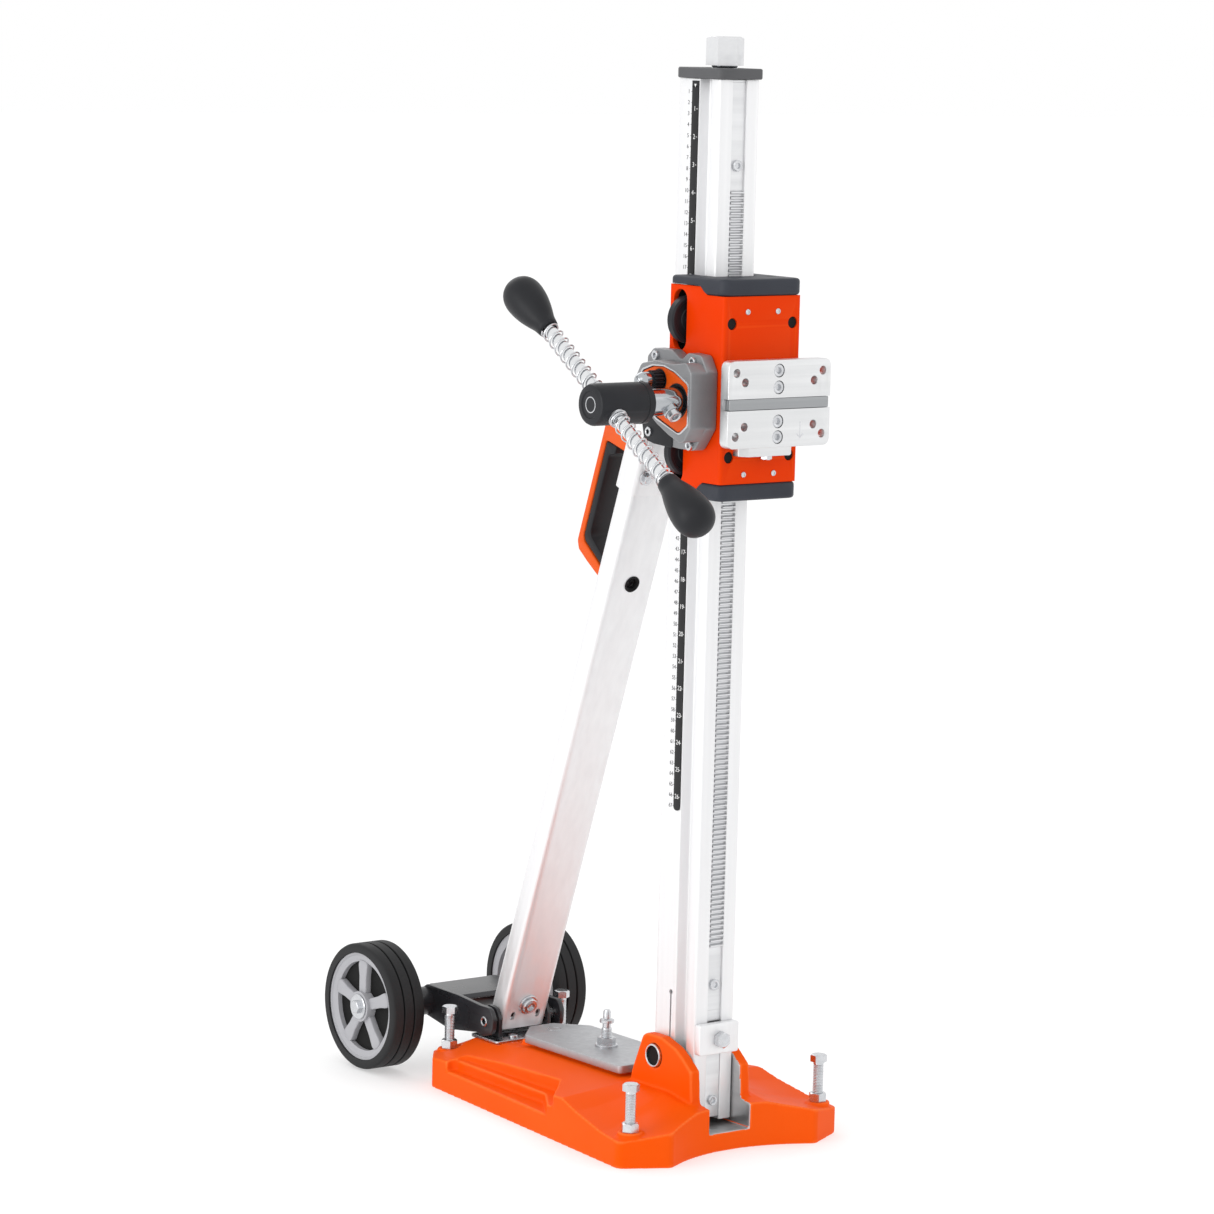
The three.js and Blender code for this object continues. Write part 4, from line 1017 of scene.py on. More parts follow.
def carriage_front_screws():
    for right, x in enumerate((-17.5, 17.5)):
        for upper, rise in ((1, 71), (0, -76.5)):
            socket_screw(f"front_screw_{right}_{upper}", (x, CARRIAGE[0].y + 0.1, CAR_Z + rise),
                         -Y, 2.7, 1.1, "zinc_steel", "carriage")

# ------------------------------------------------------------------ motor plate

PLATE_Z = (PLATE[0].z + PLATE[1].z) / 2
PLATE_SCREWS_X, PLATE_SCREWS_RISE = -1.5, (29.9, 14.7, -16.1, -30.3)
ARROW_X = 24.5


def motor_plate():
    low, high = PLATE
    outline = rounded_box(0, PLATE_Z, high.x, high.z - PLATE_Z, 8)
    holes = [circle(sx * x, PLATE_Z + sz * z, 3.8)
             for sx in (1, -1) for sz in (1, -1) for x, z in ((50, 28.7), (40, 20))]
    solid = slab_mesh(outline, holes, "y", low.y, high.y, bevel=0.9)
    cuts = [prism(rect(-70, 70, PLATE_Z - 5.3, PLATE_Z + 5.3), "y", low.y - 5, low.y + 6)]
    for rise in PLATE_SCREWS_RISE:
        cuts.append(prism(circle(PLATE_SCREWS_X, PLATE_Z + rise, 6.2), "y", low.y - 5, low.y + 4))
    carved("motor_plate_fine", solid, cuts, "milled_aluminium", "carriage", "motor_plate")
    for index, rise in enumerate(PLATE_SCREWS_RISE):
        socket_screw(f"plate_screw_{index}", (PLATE_SCREWS_X, low.y + 4, PLATE_Z + rise), -Y,
                     5.8, 3.6, "zinc_steel", "carriage")
    key_low, key_high = span("plate_key")
    key = fillet(rect(key_low.x, key_high.x, key_low.z, key_high.z), 1.2)
    slab("plate_key_fine", key, "y", key_low.y, key_high.y, "dark_steel", "carriage", bevel=0.5,
         replaces="plate_key")
    half_arrow = [(0.5, -17), (0.5, -30), (3.6, -27.5), (4, -28.4)]
    arrow = [(-a, b) for a, b in half_arrow[:1]] + half_arrow + [(0, -32.6)]
    arrow += [(-a, b) for a, b in half_arrow[:0:-1]]
    arrow = [(ARROW_X + a, PLATE_Z + b) for a, b in arrow]
    slab("plate_arrow", arrow, "y", low.y - 0.04, low.y + 0.3, "zinc_steel", "carriage",
         bevel=0.02)


def plate_carrier():
    low, high = span("plate_carrier")
    outline = fillet([(-31, high.y, 0.8), (-31, -80.5, 1.5), (-24, low.y, 0.8), (24, low.y, 0.8),
                      (31, -80.5, 1.5), (31, high.y, 0.8)], steps=4)
    slab("plate_carrier_fine", outline, "z", low.z, high.z, "milled_aluminium", "carriage",
         bevel=0.9, replaces="plate_carrier")
    hex_head("carrier_bolt", (2, (low.y + high.y) / 2, low.z - 0.1), -Z, 10, 3.6,
             "zinc_steel", "carriage")

# ------------------------------------------------------------------ gear housing

FLANGE = [(-66, 676, 6), (-66, 728, 7), (-57, 742, 6), (-38, 743, 5), (-28, 736, 6),
          (-14, 744, 7), (13, 744, 6), (22, 736, 5), (22, 688, 6), (26, 676, 7), (22, 660, 6),
          (8, 657, 6), (-28, 655, 8), (-50, 655, 8)]
BOSS = [(-66, 677, 5), (-66, 727, 6), (-58, 736, 6), (-38, 733, 8), (-12, 735, 9), (8, 731, 7),
        (15, 720, 6), (13, 706, 6), (4, 692, 8), (-16, 678, 12), (-34, 669, 10), (-50, 663, 8),
        (-57, 664, 6)]
INSERT = [(-62, 680, 5), (-62, 716, 6), (-42, 726, 6), (-26, 730.5, 8), (-10, 730, 7),
          (5, 725, 6), (10, 714, 5), (1, 697, 6), (-17, 683, 10), (-50, 671, 8)]


def gear_housing():
    low, high = span("gear_housing")
    seat, outer = high.x, low.x
    flange = -58
    solid = slab_mesh(fillet(FLANGE), [], "x", flange, seat, bevel=1.2)
    boss = slab_mesh(fillet(BOSS), [], "x", outer, flange + 4, bevel=1.5)

    def bore(shaft, radius, x0, x1):
        return prism(circle(shaft.y, shaft.z, radius), "x", x0, x1)

    cover_low, cover_high = span("gear_cover")
    spot = ROLLERS["guide_roller_lower_left"]
    inside, mouth = seat + 5, outer - 5
    cuts = [bore(FEED, 18.6, flange - 2, inside), bore(REDUCTION, 15.6, flange - 2, inside),
            bore(FEED, 16, -67.4, flange + 3), bore(FEED, 13, mouth, flange + 3),
            bore(REDUCTION, 6.4, mouth, flange + 3),
            prism(fillet(INSERT), "x", mouth, cover_high.x + 0.3),
            prism(circle(spot.x, spot.z, 22.8), "y", spot.y - 6.5, spot.y + 6.5)]
    carved("gear_housing_fine", solid, cuts, "cast_housing", "carriage", "gear_housing",
           adds=[boss])

    def around(grow):
        """The insert's outline, grown on every side."""
        return fillet([(y + (grow if y > -25 else -grow), z + (grow if z > 700 else -grow), r)
                       for y, z, r in INSERT])

    slab("gear_cover_fine", around(-0.6), "x", cover_low.x, cover_high.x, "orange_plastic",
         "carriage", holes=[circle(FEED.y, FEED.z, 16), circle(REDUCTION.y, REDUCTION.z, 10.4)],
         bevel=0.6, replaces="gear_cover")
    slab("housing_rim", around(1.3), "x", outer - 0.3, outer + 0.6, "zinc_steel", "carriage",
         holes=[around(0)], bevel=0.15)
    shield = [(22.4, 700, 2), (22.4, 688, 6), (26.4, 676, 7), (22.4, 659.6, 6), (8, 656.6, 6),
              (-19, 655, 2), (-19, 690, 2), (0, 700, 2)]
    slab("housing_shield", fillet(shield), "x", flange - 1.2, flange + 0.2, "black_plastic",
         "carriage", bevel=0.4)
    seals = ((FEED, 15.8, 12.8), (REDUCTION, 10.1, 5.8))
    for index, (at, big, small) in enumerate(seals):
        turned(f"shaft_seal_{index}", [(small, -72.5), (small, -73.6), (small + 1, -74.4),
               (big - 1.6, -74.4), (big - 1, -75.2), (big, -75.2), (big, -71), (small, -71),
               (small, -72.5)], X, (0, at.y, at.z), "black_plastic", "carriage")
    for index, (y, z) in enumerate(((-47, 735.5), (8, 737.5), (15, 667), (-45, 659.5))):
        socket_screw(f"housing_screw_{index}", (flange + 0.1, y, z), -X, 4.3, 3.4,
                     "zinc_steel", "carriage")


def reduction_shaft():
    low, high = span("reduction_shaft")
    at = REDUCTION
    profile = [(0, low.x), (2.4, low.x + 0.2), (4.6, low.x + 1.2), (6.4, low.x + 3),
               (7.6, low.x + 5.6), (8, low.x + 8), (8, low.x + 12.6), (7.6, low.x + 13),
               (5.5, low.x + 14), (5.5, low.x + 16), (6, low.x + 16.4), (6, high.x), (0, high.x)]
    turned("reduction_shaft_fine", profile, X, (0, at.y, at.z), "chrome", "reduction",
           "reduction_shaft")
    teeth = 16
    outline = []
    for i in range(teeth):
        start = 2 * math.pi * i / teeth
        for radius, part in ((7.9, 0.05), (9.3, 0.22), (9.3, 0.52), (7.9, 0.7)):
            angle = start + part * 2 * math.pi / teeth
            outline.append((at.y + radius * math.cos(angle), at.z + radius * math.sin(angle)))
    slab("reduction_spline", outline, "x", -86, -75.6, "black_plastic", "reduction", bevel=0.25)


LUG_X = -88.5


def feed_shaft():
    low, high = span("feed_shaft")
    profile = [(0, low.x), (11.5, low.x), (12.5, low.x + 1), (12.5, -66.6), (15.4, -66.6),
               (15.4, -64.8), (8, -64.8), (8, high.x - 1), (7, high.x), (0, high.x)]
    turned("feed_shaft_fine", profile, X, FEED, "chrome", "feed", "feed_shaft")
    teeth, module, pitch = 20, 1.5, 15
    flank = ((pitch - 1.25 * module, 0.1), (pitch, 0.069), (pitch + 0.9 * module, 0.035))
    outline = []
    for i in range(teeth):
        at = 2 * math.pi * i / teeth
        outline += [(radius, at - half) for radius, half in flank]
        outline += [(radius, at + half) for radius, half in flank[::-1]]
    points = [(FEED.y + r * math.cos(a), FEED.z + r * math.sin(a)) for r, a in outline]
    slab("feed_pinion", points, "x", -7.4, 7.4, "dark_steel", "feed", bevel=0.2)
    out = Vector((0, -0.78, -0.625))
    lug = [(0, 9), (7.6, 9), (7.6, 14.4), (6.9, 15.2), (0, 15.2)]
    root = FEED + X * LUG_X
    turned("clamp_lug", lug, out, root, "chrome", "feed", sides=48)
    socket_screw("hub_clamp_screw", root + out * 15.2, out, 6.2, 5.6, "zinc_steel", "feed")

# ------------------------------------------------------------------ feed handle


def feed_hub():
    low, high = span("feed_hub")
    radius = (high.z - low.z) / 2
    profile = [(0, low.x + 0.8), (12, low.x + 0.8), (12.6, low.x), (radius - 3.4, low.x),
               (radius - 1.2, low.x + 0.8), (radius, low.x + 3.4), (radius, high.x - 9),
               (radius - 0.7, high.x - 8.4), (radius - 0.7, high.x - 7.4), (radius, high.x - 6.8),
               (radius, high.x - 1.5), (radius - 1.5, high.x), (0, high.x)]
    solid = lathe_mesh(profile, X, FEED, 96)
    bore = lathe_mesh(rect(0, 12.8, -129.4, -90), X, FEED, 72)
    cross = lathe_mesh(rect(0, 6.3, -60, 60), ROD_AXIS, ROD_MIDDLE, 48)
    carved("feed_hub_fine", solid, [bore, cross], "black_plastic", "feed", "feed_hub")
    mark = [circle(FEED.y, FEED.z, 7.4), circle(FEED.y, FEED.z, 6.4)]
    slab("feed_hub_mark", mark[0], "x", low.x + 0.6, low.x + 1.0, "zinc_steel", "feed",
         holes=[mark[1]], bevel=0.05)
    for sign in (1, -1):
        collar = [(6.4, 17.6), (8.6, 17.6), (9.2, 18.2), (9.2, 20), (8.6, 20.4), (6.4, 20.4),
                  (6.4, 17.6)]
        turned(f"rod_collar_{(sign + 1) // 2}", collar, ROD_AXIS * sign, ROD_MIDDLE,
               "zinc_steel", "feed")


def handle_knob(tag, sign):
    start, end = 108, 174
    body = [(6.3, start), (8.8, start), (9.7, start + 0.9), (10.1, start + 3)]
    shape = ((10, 11.3), (18, 13.9), (26, 16.2), (34, 17.9), (42, 18.8), (48, 18.8), (53, 18.0),
             (57.5, 16.2), (61, 13.6), (63.4, 10.6), (65, 7.0), (65.8, 3.4))
    body += [(radius, start + along) for along, radius in shape]
    body += [(0, end - 0.2), (0, 129), (6.3, 129), (6.3, start)]
    smooth = body[:4] + refine_curve(body[3:16], 4) + body[16:]
    turned("handle_knob_fine_" + tag, smooth, ROD_AXIS * sign, ROD_MIDDLE, "soft_rubber",
           "handle", "handle_knob_" + tag)


def refine_curve(points, steps):
    """Catmull-Rom points through a profile."""
    ends = [points[0], *points, points[-1]]
    smooth = []
    for a, b, c, d in zip(ends, ends[1:], ends[2:], ends[3:]):
        for k in range(steps):
            t = k / steps
            smooth.append(tuple(
                0.5 * (2 * b[i] + (c[i] - a[i]) * t
                       + (2 * a[i] - 5 * b[i] + 4 * c[i] - d[i]) * t * t
                       + (3 * b[i] - a[i] - 3 * c[i] + d[i]) * t ** 3) for i in (0, 1)))
    return [*smooth, points[-1]]


def handle_spring(tag, sign):
    """A coil round the rod, wound close at its ends."""
    radius, wire, turns, sides, per_turn = 8.1, 0.85, 9.5, 10, 40
    start, end = 21.8, 106.2
    frame_to = turn_frame(ROD_AXIS * sign, ROD_MIDDLE)
    mesh = bmesh.new()
    rings = []
    count = int(turns * per_turn)
    for i in range(count + 1):
        t = i / count
        angle = 2 * math.pi * turns * t
        eased = min(max((t - 0.07) / 0.86, 0), 1)
        along = start + (end - start) * (0.035 * t + 0.965 * eased)
        out = Vector((math.cos(angle), math.sin(angle), 0))
        ring = []
        for k in range(sides):
            turn = 2 * math.pi * k / sides
            spot = (Vector((0, 0, along)) + out * (radius + wire * math.cos(turn))
                    + Z * (wire * math.sin(turn)))
            ring.append(mesh.verts.new(frame_to @ spot * MM))
        rings.append(ring)
    for low, high in zip(rings, rings[1:]):
        for k in range(sides):
            j = (k + 1) % sides
            mesh.faces.new((low[k], low[j], high[j], high[k]))
    mesh.faces.new(rings[0][::-1])
    mesh.faces.new(rings[-1])
    name = "handle_spring_fine_" + tag
    piece = place(finish_mesh(mesh), name, "zinc_steel", None, "handle_spring_" + tag)
    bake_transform(piece)


def handle():
    rod = 128
    turned("handle_rod_fine", [(0, -rod), (5.2, -rod), (6, -rod + 0.8), (6, rod - 0.8), (5.2, rod),
           (0, rod)], ROD_AXIS, ROD_MIDDLE, "chrome", "handle", "handle_rod", sides=64,
           shade="pale_chrome")
    for tag, sign in (("upper", 1), ("lower", -1)):
        handle_knob(tag, sign)
        handle_spring(tag, sign)

# ------------------------------------------------------------------ strut

LEAN = math.atan2(STRUT_FOOT.y - STRUT_TOP.y, STRUT_TOP.z - STRUT_FOOT.z)
ALONG_STRUT = (Matrix.Translation(STRUT_FOOT) @ Matrix.Rotation(LEAN, 4, "X"))
TO_STRUT = Matrix.Scale(MM, 4) @ ALONG_STRUT @ Matrix.Scale(1 / MM, 4)
TUBE = {"half_x": 27, "front": -7, "back": 16, "corner": 6, "wall": 3, "from": -8, "to": 596}
LOCK_HOLE = 478
FOOT_BOLT = 18


def on_strut(x, y, z):
    """A point given in the strut's own directions, in the row frame, in millimetres."""
    return ALONG_STRUT @ Vector((x, y, z))


def strut_section(margin, corner, steps=8):
    t = TUBE
    return rounded_box(0, (t["front"] + t["back"]) / 2, t["half_x"] + margin,
                       (t["back"] - t["front"]) / 2 + margin, corner, steps)


def strut_tube():
    t = TUBE
    front = t["front"]
    inner = strut_section(-t["wall"], t["corner"] - t["wall"], 6)
    solid = slab_mesh(strut_section(0, t["corner"]), [inner], "z", t["from"], t["to"], bevel=0.35)
    cuts = [prism(circle(0, LOCK_HOLE, 7, 48), "y", -30, 30),
            prism(circle(0, 0, 5.4, 48), "x", -40, 40),
            prism(circle(0, FOOT_BOLT, 5.3, 40), "y", -30, front + 8)]
    for x in (-15, 15):
        cuts.append(prism(obround(x, 2, 11, 2.6, 10), "y", -30, front + 6))
    carved("strut_tube_fine", solid, cuts, "aluminium", "strut", "strut_tube", frame_to=TO_STRUT)
    out = -STRUT_BACK
    # A ring inside the lock hole, in dead black: painted shade, so the hole reads dark all through.
    ring = [(5, -3), (6.5, -3), (7, 0), (8.2, 1.1), (8.2, 1.6), (7.4, 1.9), (6, 1.2), (5.6, 0.4),
            (5, 0.4), (5, -3)]
    turned("lock_hole_liner", ring, out, on_strut(0, front, LOCK_HOLE) - out * 0.9,
           "black_plastic", "strut", shade="deep_black")
    foot = on_strut(0, front, FOOT_BOLT)
    turned("strut_foot_washer", [(5, 0.3), (10.4, 0.3), (10.4, 1.6), (9.8, 2.1), (5, 2.1),
           (5, 0.3)], out, foot, "zinc_steel", "strut")
    bolt = [(0, -10), (5, -10), (5, 2.1), (7.4, 2.1), (8, 2.7), (8, 4.6), (7.2, 5.6), (4.4, 6),
            (4.4, 3.2), (0, 3.2)]
    turned("strut_foot_bolt_fine", bolt, out, foot, "zinc_steel", "strut", "strut_foot_bolt")


HEAD = {"sheet": 3, "low": 572, "sleeve_top": 624, "front_top": 636}


def strut_head():
    t, h = TUBE, HEAD
    sheet, front, back = h["sheet"], t["front"], t["back"]
    solid = slab_mesh(strut_section(sheet, t["corner"] + 2), [strut_section(0.3, t["corner"])],
                      "z", h["low"], h["sleeve_top"], bevel=0.5)
    cheek = fillet([(front, h["sleeve_top"] - 1, 0), (back, h["sleeve_top"] - 1, 0),
                    (back, STRUT_LENGTH - 10, 8), (8, STRUT_LENGTH + 12, 9),
                    (front, STRUT_LENGTH + 12, 9)], steps=8)
    half = t["half_x"]
    adds = [slab_mesh(cheek, [], "x", half + 0.4, half + sheet, bevel=0.4),
            slab_mesh(cheek, [], "x", -half - sheet, -half - 0.4, bevel=0.4),
            prism([(3 - half, h["sleeve_top"] - 1), (half - 3, h["sleeve_top"] - 1),
                   (half - 3, h["front_top"]), (3 - half, h["front_top"])], "y", front - sheet,
                  front - 0.3)]
    cuts = [prism(circle(0, STRUT_LENGTH, 5.3, 40), "x", -40, 40)]
    carved("strut_head_fine", solid, cuts, "aluminium", "strut", "strut_head", frame_to=TO_STRUT,
           adds=adds)
    out = -STRUT_BACK
    face = on_strut(-17, front - sheet, 591)
    turned("head_washer", [(4, 0.1), (7.6, 0.1), (7.6, 1.3), (7.2, 1.6), (4, 1.6), (4, 0.1)], out,
           face, "zinc_steel", "strut")
    hex_head("head_bolt", face + out * 1.6, out, 9, 3.4, "zinc_steel", "strut")


HANDLE = {"low": 466, "high": 626, "far": 71.4, "bar": 6.9, "half": 13, "liner": 8}


def carry_handle():
    h = HANDLE
    low, high, far, bar = h["low"], h["high"], h["far"], h["bar"]
    near, spine, inside = TUBE["back"] + 0.3, TUBE["back"] + 3.3, far - bar
    outer = fillet([(near, low, 1), (far - 22, low + 9, 30), (far - 5, low + 14.6, 5),
                    (far, low + 22, 8), (far, high - 14, 10), (far - 12, high, 10),
                    (spine, high, 2), (spine, HEAD["low"] - 1, 1), (near, HEAD["low"] - 1, 1)],
                   steps=8)
    window = fillet([(spine + 4, low + 11.4, 2), (inside - 3, low + 25.4, 5),
                     (inside, low + 31, 6), (inside, high - 31, 5), (inside - 4, high - 30, 3),
                     (spine + 4, high - 28, 2)], steps=8)
    mesh = slab_mesh(outer, [window], "x", -h["half"], h["half"], bevel=1.6)
    mesh.transform(TO_STRUT)
    place(mesh, "carry_handle_fine", "orange_plastic", "strut", "carry_handle")
    face = inside - 0.3
    start = spine + 5
    liner = fillet([(start, low + 13.3, 1), (face - 3.1, low + 26, 5), (face, low + 31.4, 6),
                    (face, high - 31.4, 5), (face - 4.1, high - 30.4, 3),
                    (face - 16, high - 29.8, 2), (face - 16, high - 29.8 - h["liner"], 2),
                    (face - h["liner"], high - 42, 6), (face - h["liner"], low + 35, 8),
                    (start, low + 13.3 + h["liner"], 2)], steps=8)
    wide = h["half"] - 0.8
    grip = slab_mesh(liner, [], "x", -wide, wide, bevel=1.6)
    grip.transform(TO_STRUT)
    place(grip, "handle_grip_fine", "soft_rubber", "strut", "handle_grip")


SLIDER = {"low": 632, "high": 716, "half": 20, "sheet": 7, "neck": 5.8, "key": 10.6, "margin": 4}


def column_slider():
    c, top, back = SLIDER, STRUT_TOP, COLUMN_SHAPE["front"] + 0.3
    low, high = c["low"] + c["margin"], c["high"] - c["margin"]
    solid = slab_mesh(fillet(rect(-c["half"], c["half"], c["low"], c["high"]), 3), [], "y", back,
                      back + c["sheet"], bevel=0.8)
    ear = fillet([(back + 5, 658, 0), (top.y - 6, top.z - 9, 8), (top.y + 10, top.z - 9, 8),
                  (top.y + 10, top.z + 9, 8), (top.y - 6, top.z + 9, 8), (back + 5, 702, 0)],
                 steps=8)
    adds = [slab_mesh(ear, [], "x", -12, 12, bevel=0.8),
            prism(rect(-c["neck"], c["neck"], low, high), "y", back - 5, back + 1),
            prism(rect(-c["key"], c["key"], low, high), "y", back - 9.6, back - 4.8),
            lathe_mesh([(0, -24), (4.6, -24), (5, -23.6), (5, 23.6), (4.6, 24), (0, 24)], X, top,
                       48)]
    carved("column_slider_fine", solid, [], "dark_steel", "slider", "column_slider", adds=adds)

# ------------------------------------------------------------------ strut foot and wheels


def foot_hinge():
    low, high = span("foot_hinge")
    foot = STRUT_FOOT
    sheet = fillet(rect(-44, 44, foot.y - 24, foot.y + 22), 4)
    solid = slab_mesh(sheet, [], "z", low.z, low.z + 3, bevel=0.5)
    ear = fillet([(foot.y - 9, low.z, 0), (foot.y + 17, low.z, 0), (foot.y + 17, high.z - 5, 6),
                  (foot.y + 9, high.z, 6), (foot.y - 3, high.z - 1, 7),
                  (foot.y - 9, foot.z + 3, 5)], steps=8)
    adds = [slab_mesh(ear, [], "x", a, b, bevel=0.4) for a, b in ((-31.5, -27.6), (27.6, 31.5))]
    cuts = [prism(circle(foot.y, foot.z, 5.4), "x", -50, 50)]
    hinge = carved("foot_hinge_fine", solid, cuts, "zinc_steel", "base", "foot_hinge", adds=adds)
    hinge.data.materials.append(LOOKS["black_paint"])
    for face in hinge.data.polygons:  # the ears are painted, the sheet under them is bare
        if face.center.z / MM > low.z + 3.2:
            face.material_index = 1
    x0, x1 = span("foot_pin")[0].x, span("foot_pin")[1].x
    turned("foot_pin_fine", [(3, x0 + 0.6), (3.5, x0), (4.5, x0), (5, x0 + 0.6), (5, x1 - 0.6),
           (4.5, x1), (3.5, x1), (3, x1 - 0.6), (3, x0 + 0.6)], X,
           foot, "zinc_steel", "base", "foot_pin")
    for tag, x in (("left", -18), ("right", 18)):
        socket_screw("hinge_screw_" + tag, (x, foot.y - 14, low.z + 3), Z, 4.5, 2.4,
                     "zinc_steel", "base")


AXLE = Vector((0, *centre("wheel_axle").yz))


def wheel_bracket():
    y, z = STRUT_FOOT.y, STRUT_FOOT.z
    cheek = fillet([(y - 15, z + 6, 10), (y - 14, z - 11, 10), (y + 2, z - 15, 10),
                    (y + 12, z - 13, 6), (y + 50, 44, 8), (y + 66, 44, 8), (386, 52, 8),
                    (390, 60, 8), (386, 74, 8), (374, 81, 10), (y + 44, 80, 10),
                    (y + 8, z + 15, 12), (y - 9, z + 15, 12)], steps=7)
    plate = [(y + 40, 75), (y + 44, 80), (374, 81), (386, 74), (390, 60), (386, 60), (382, 72),
             (373, 77)]
    solid = slab_mesh(cheek, [], "x", -43.5, -38.5, bevel=0.7)
    adds = [slab_mesh(cheek, [], "x", 38.5, 43.5, bevel=0.7),
            prism(fillet(plate, 1.5), "x", -39, 39),
            lathe_mesh([(0, -74), (13.2, -74), (14, -73.2), (14, 73.2), (13.2, 74), (0, 74)],
                       X, (0, AXLE.y - 9, 64), 72)]
    cuts = [prism(circle(y, z, 5.4), "x", -60, 60),
            prism(circle(AXLE.y, AXLE.z, 8.3), "x", -90, 90)]
    carved("wheel_bracket_fine", solid, cuts, "black_paint", "base", "wheel_bracket", adds=adds)
    near = span("wheel_rim_right")[1].x + 0.3
    far = near + 1.6
    half = [(8, near), (11.8, near), (12.5, near + 0.5), (12.5, near + 1.1), (11.8, far), (0, far)]
    turned("wheel_axle_fine", [(r, -x) for r, x in half[::-1]] + half, X, AXLE, "zinc_steel",
           "base", "wheel_axle")
    for tag, side in (("left", -1), ("right", 1)):
        hex_head("axle_screw_" + tag, AXLE + X * side * far, X * side, 12, 3.8, "zinc_steel",
                 "base")


def tyre(tag, side):
    low, high = span("wheel_tyre_" + tag)
    inner, outer = sorted((abs(low.x), abs(high.x)))
    width, radius, seat = outer - inner, (high.z - low.z) / 2, 53.6
    groove = 2.4
    half = [(seat, 0), (radius - 2.6, 0), (radius - 1.2, 0.5), (radius - 0.4, 1.4), (radius, 2.6),
            (radius, 11), (radius - 0.4, 11.5), (radius - groove, 11.8), (radius - groove, 12.9),
            (radius - 0.4, 13.2), (radius, 13.7)]
    profile = half + [(r, width - a) for r, a in half[::-1]] + [half[0]]
    turned("wheel_tyre_fine_" + tag, [(r, side * (inner + a)) for r, a in profile], X,
           AXLE, "tyre", "wheel_" + tag, "wheel_tyre_" + tag, sides=120)


def rim(tag, side):
    low, high = span("wheel_rim_" + tag)
    inner, outer = sorted((abs(low.x), abs(high.x)))
    radius = 53.3
    face = outer - 2

    def ring(big, small, a, b):
        return lathe_mesh([(small, a), (big, a), (big, b), (small, b), (small, a)], X, AXLE, 96)

    lip = lathe_mesh([(44.5, side * inner), (radius, side * inner), (radius, side * face),
                      (51.4, side * face), (50.4, side * (face - 1.2)), (48, side * (face - 1.6)),
                      (44.5, side * (face - 3.2)), (44.5, side * inner)], X,
                     AXLE, 96)
    adds = [ring(15, 8.4, side * inner, side * outer)]
    # A web behind the spokes, in dead black: painted shade for the dark inside of the rim.
    web = ring(45.2, 14.6, side * (face - 11), side * (face - 8))
    place(web, "wheel_web_" + tag, "black_plastic", "wheel_" + tag, shade="deep_black")
    for i in range(5):
        angle = math.radians(90 + 72 * i)

        def across(along, wide):
            return (AXLE.y + along * math.cos(angle) - wide * math.sin(angle),
                    AXLE.z + along * math.sin(angle) + wide * math.cos(angle))

        spoke = fillet([across(11, -5.6), across(30, -5.8), across(46, -8.4), across(46, 8.4),
                        across(30, 5.8), across(11, 5.6)], 6)
        x0, x1 = sorted((side * (face - 10), side * (face - 1.6)))
        adds.append(slab_mesh(spoke, [], "x", x0, x1, bevel=1.2))
    carved("wheel_rim_fine_" + tag, lip, [], "rim_plastic", "wheel_" + tag,
           "wheel_rim_" + tag, adds=adds)


def wheels():
    for tag, side in (("left", -1), ("right", 1)):
        tyre(tag, side)
        rim(tag, side)

# ------------------------------------------------------------------ camera, light and floor


CAMERA = {"spot": (-2.59004, -3.25188, 1.05916), "yaw": -37.285, "down": 7.651, "roll": 1.392,
          "lens": 134.4, "sensor": 36}


def look_camera():
    c = CAMERA
    data = bpy.data.cameras.new("camera")
    data.sensor_width = c["sensor"]
    data.lens = c["lens"]
    data.clip_end = 50
    camera = bpy.data.objects.new("camera", data)
    camera.location = c["spot"]
    turn = Matrix.Rotation(math.radians(c["yaw"]), 4, "Z")
    turn @= Matrix.Rotation(math.radians(90 - c["down"]), 4, "X")
    turn @= Matrix.Rotation(math.radians(c["roll"]), 4, "Z")
    camera.rotation_euler = turn.to_euler()
    SCENE.collection.objects.link(camera)
    SCENE.camera = camera


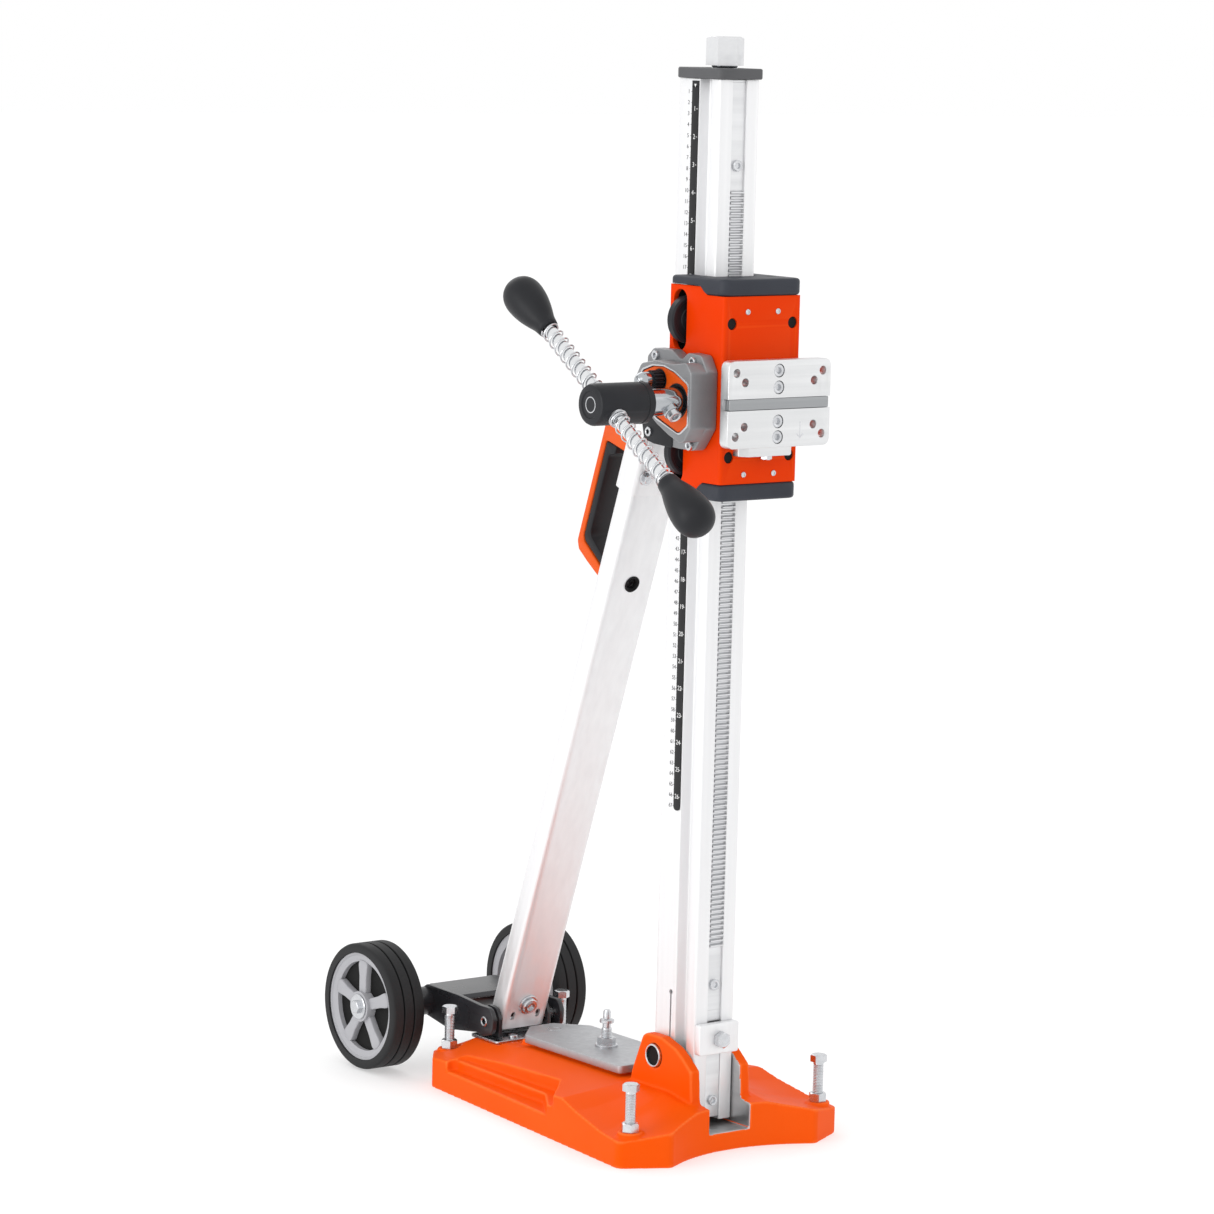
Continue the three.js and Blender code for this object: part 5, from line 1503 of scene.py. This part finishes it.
def area_light(name, place_at, aim, size, watts):
    data = bpy.data.lights.new(name, "AREA")
    data.shape = "RECTANGLE"
    data.size, data.size_y = size
    data.energy = watts
    light = bpy.data.objects.new(name, data)
    light.location = place_at
    light.rotation_euler = (Vector(aim) - Vector(place_at)).to_track_quat("-Z", "Y").to_euler()
    SCENE.collection.objects.link(light)


def studio():
    SCENE.view_settings.view_transform = "Standard"
    world = bpy.data.worlds.new("world")
    world.use_nodes = True
    background = world.node_tree.nodes["Background"]
    background.inputs["Color"].default_value = (1, 1, 1, 1)
    background.inputs["Strength"].default_value = 1.0
    SCENE.world = world
    area_light("key", (-2.8, -1.7, 2.6), (0, 0, 0.5), (2.0, 2.0), 10)
    area_light("side", (-2.6, 0.2, 0.9), (0, 0, 0.6), (1.4, 1.8), 20)
    area_light("fill", (2.6, -2.0, 1.6), (0, 0, 0.5), (1.6, 2.4), 4)
    area_light("back", (0.6, 3.0, 2.6), (0, 0, 0.6), (2.2, 1.6), 13)
    floor = bpy.data.meshes.new("floor")
    reach = 30
    floor.from_pydata([(-reach, -reach, 0), (reach, -reach, 0), (reach, reach, 0),
                       (-reach, reach, 0)], [], [(0, 1, 2, 3)])
    ground = bpy.data.objects.new("floor", floor)
    shader = Shader("floor_paint", (0.55, 0.55, 0.55), 0.8)
    shader.tint(shader.noise(2), (0.54, 0.54, 0.54), 0.5)
    shader.bsdf.inputs["Emission Color"].default_value = (1, 1, 1, 1)
    shader.bsdf.inputs["Emission Strength"].default_value = 0.45
    floor.materials.append(shader.material)
    SCENE.collection.objects.link(ground)

# ------------------------------------------------------------------ the build

for build in (base_casting, levelling_screws, anchor, pivot_tube, column_profile, gear_rack,
              rack_screws, rack_seat, scale, stop_block, column_cap, carriage_housing,
              carriage_caps, rollers, carriage_front_screws, motor_plate, plate_carrier,
              gear_housing, reduction_shaft, feed_shaft, feed_hub, handle, strut_tube,
              strut_head, carry_handle, column_slider, foot_hinge, wheel_bracket, wheels,
              look_camera, studio):
    build()
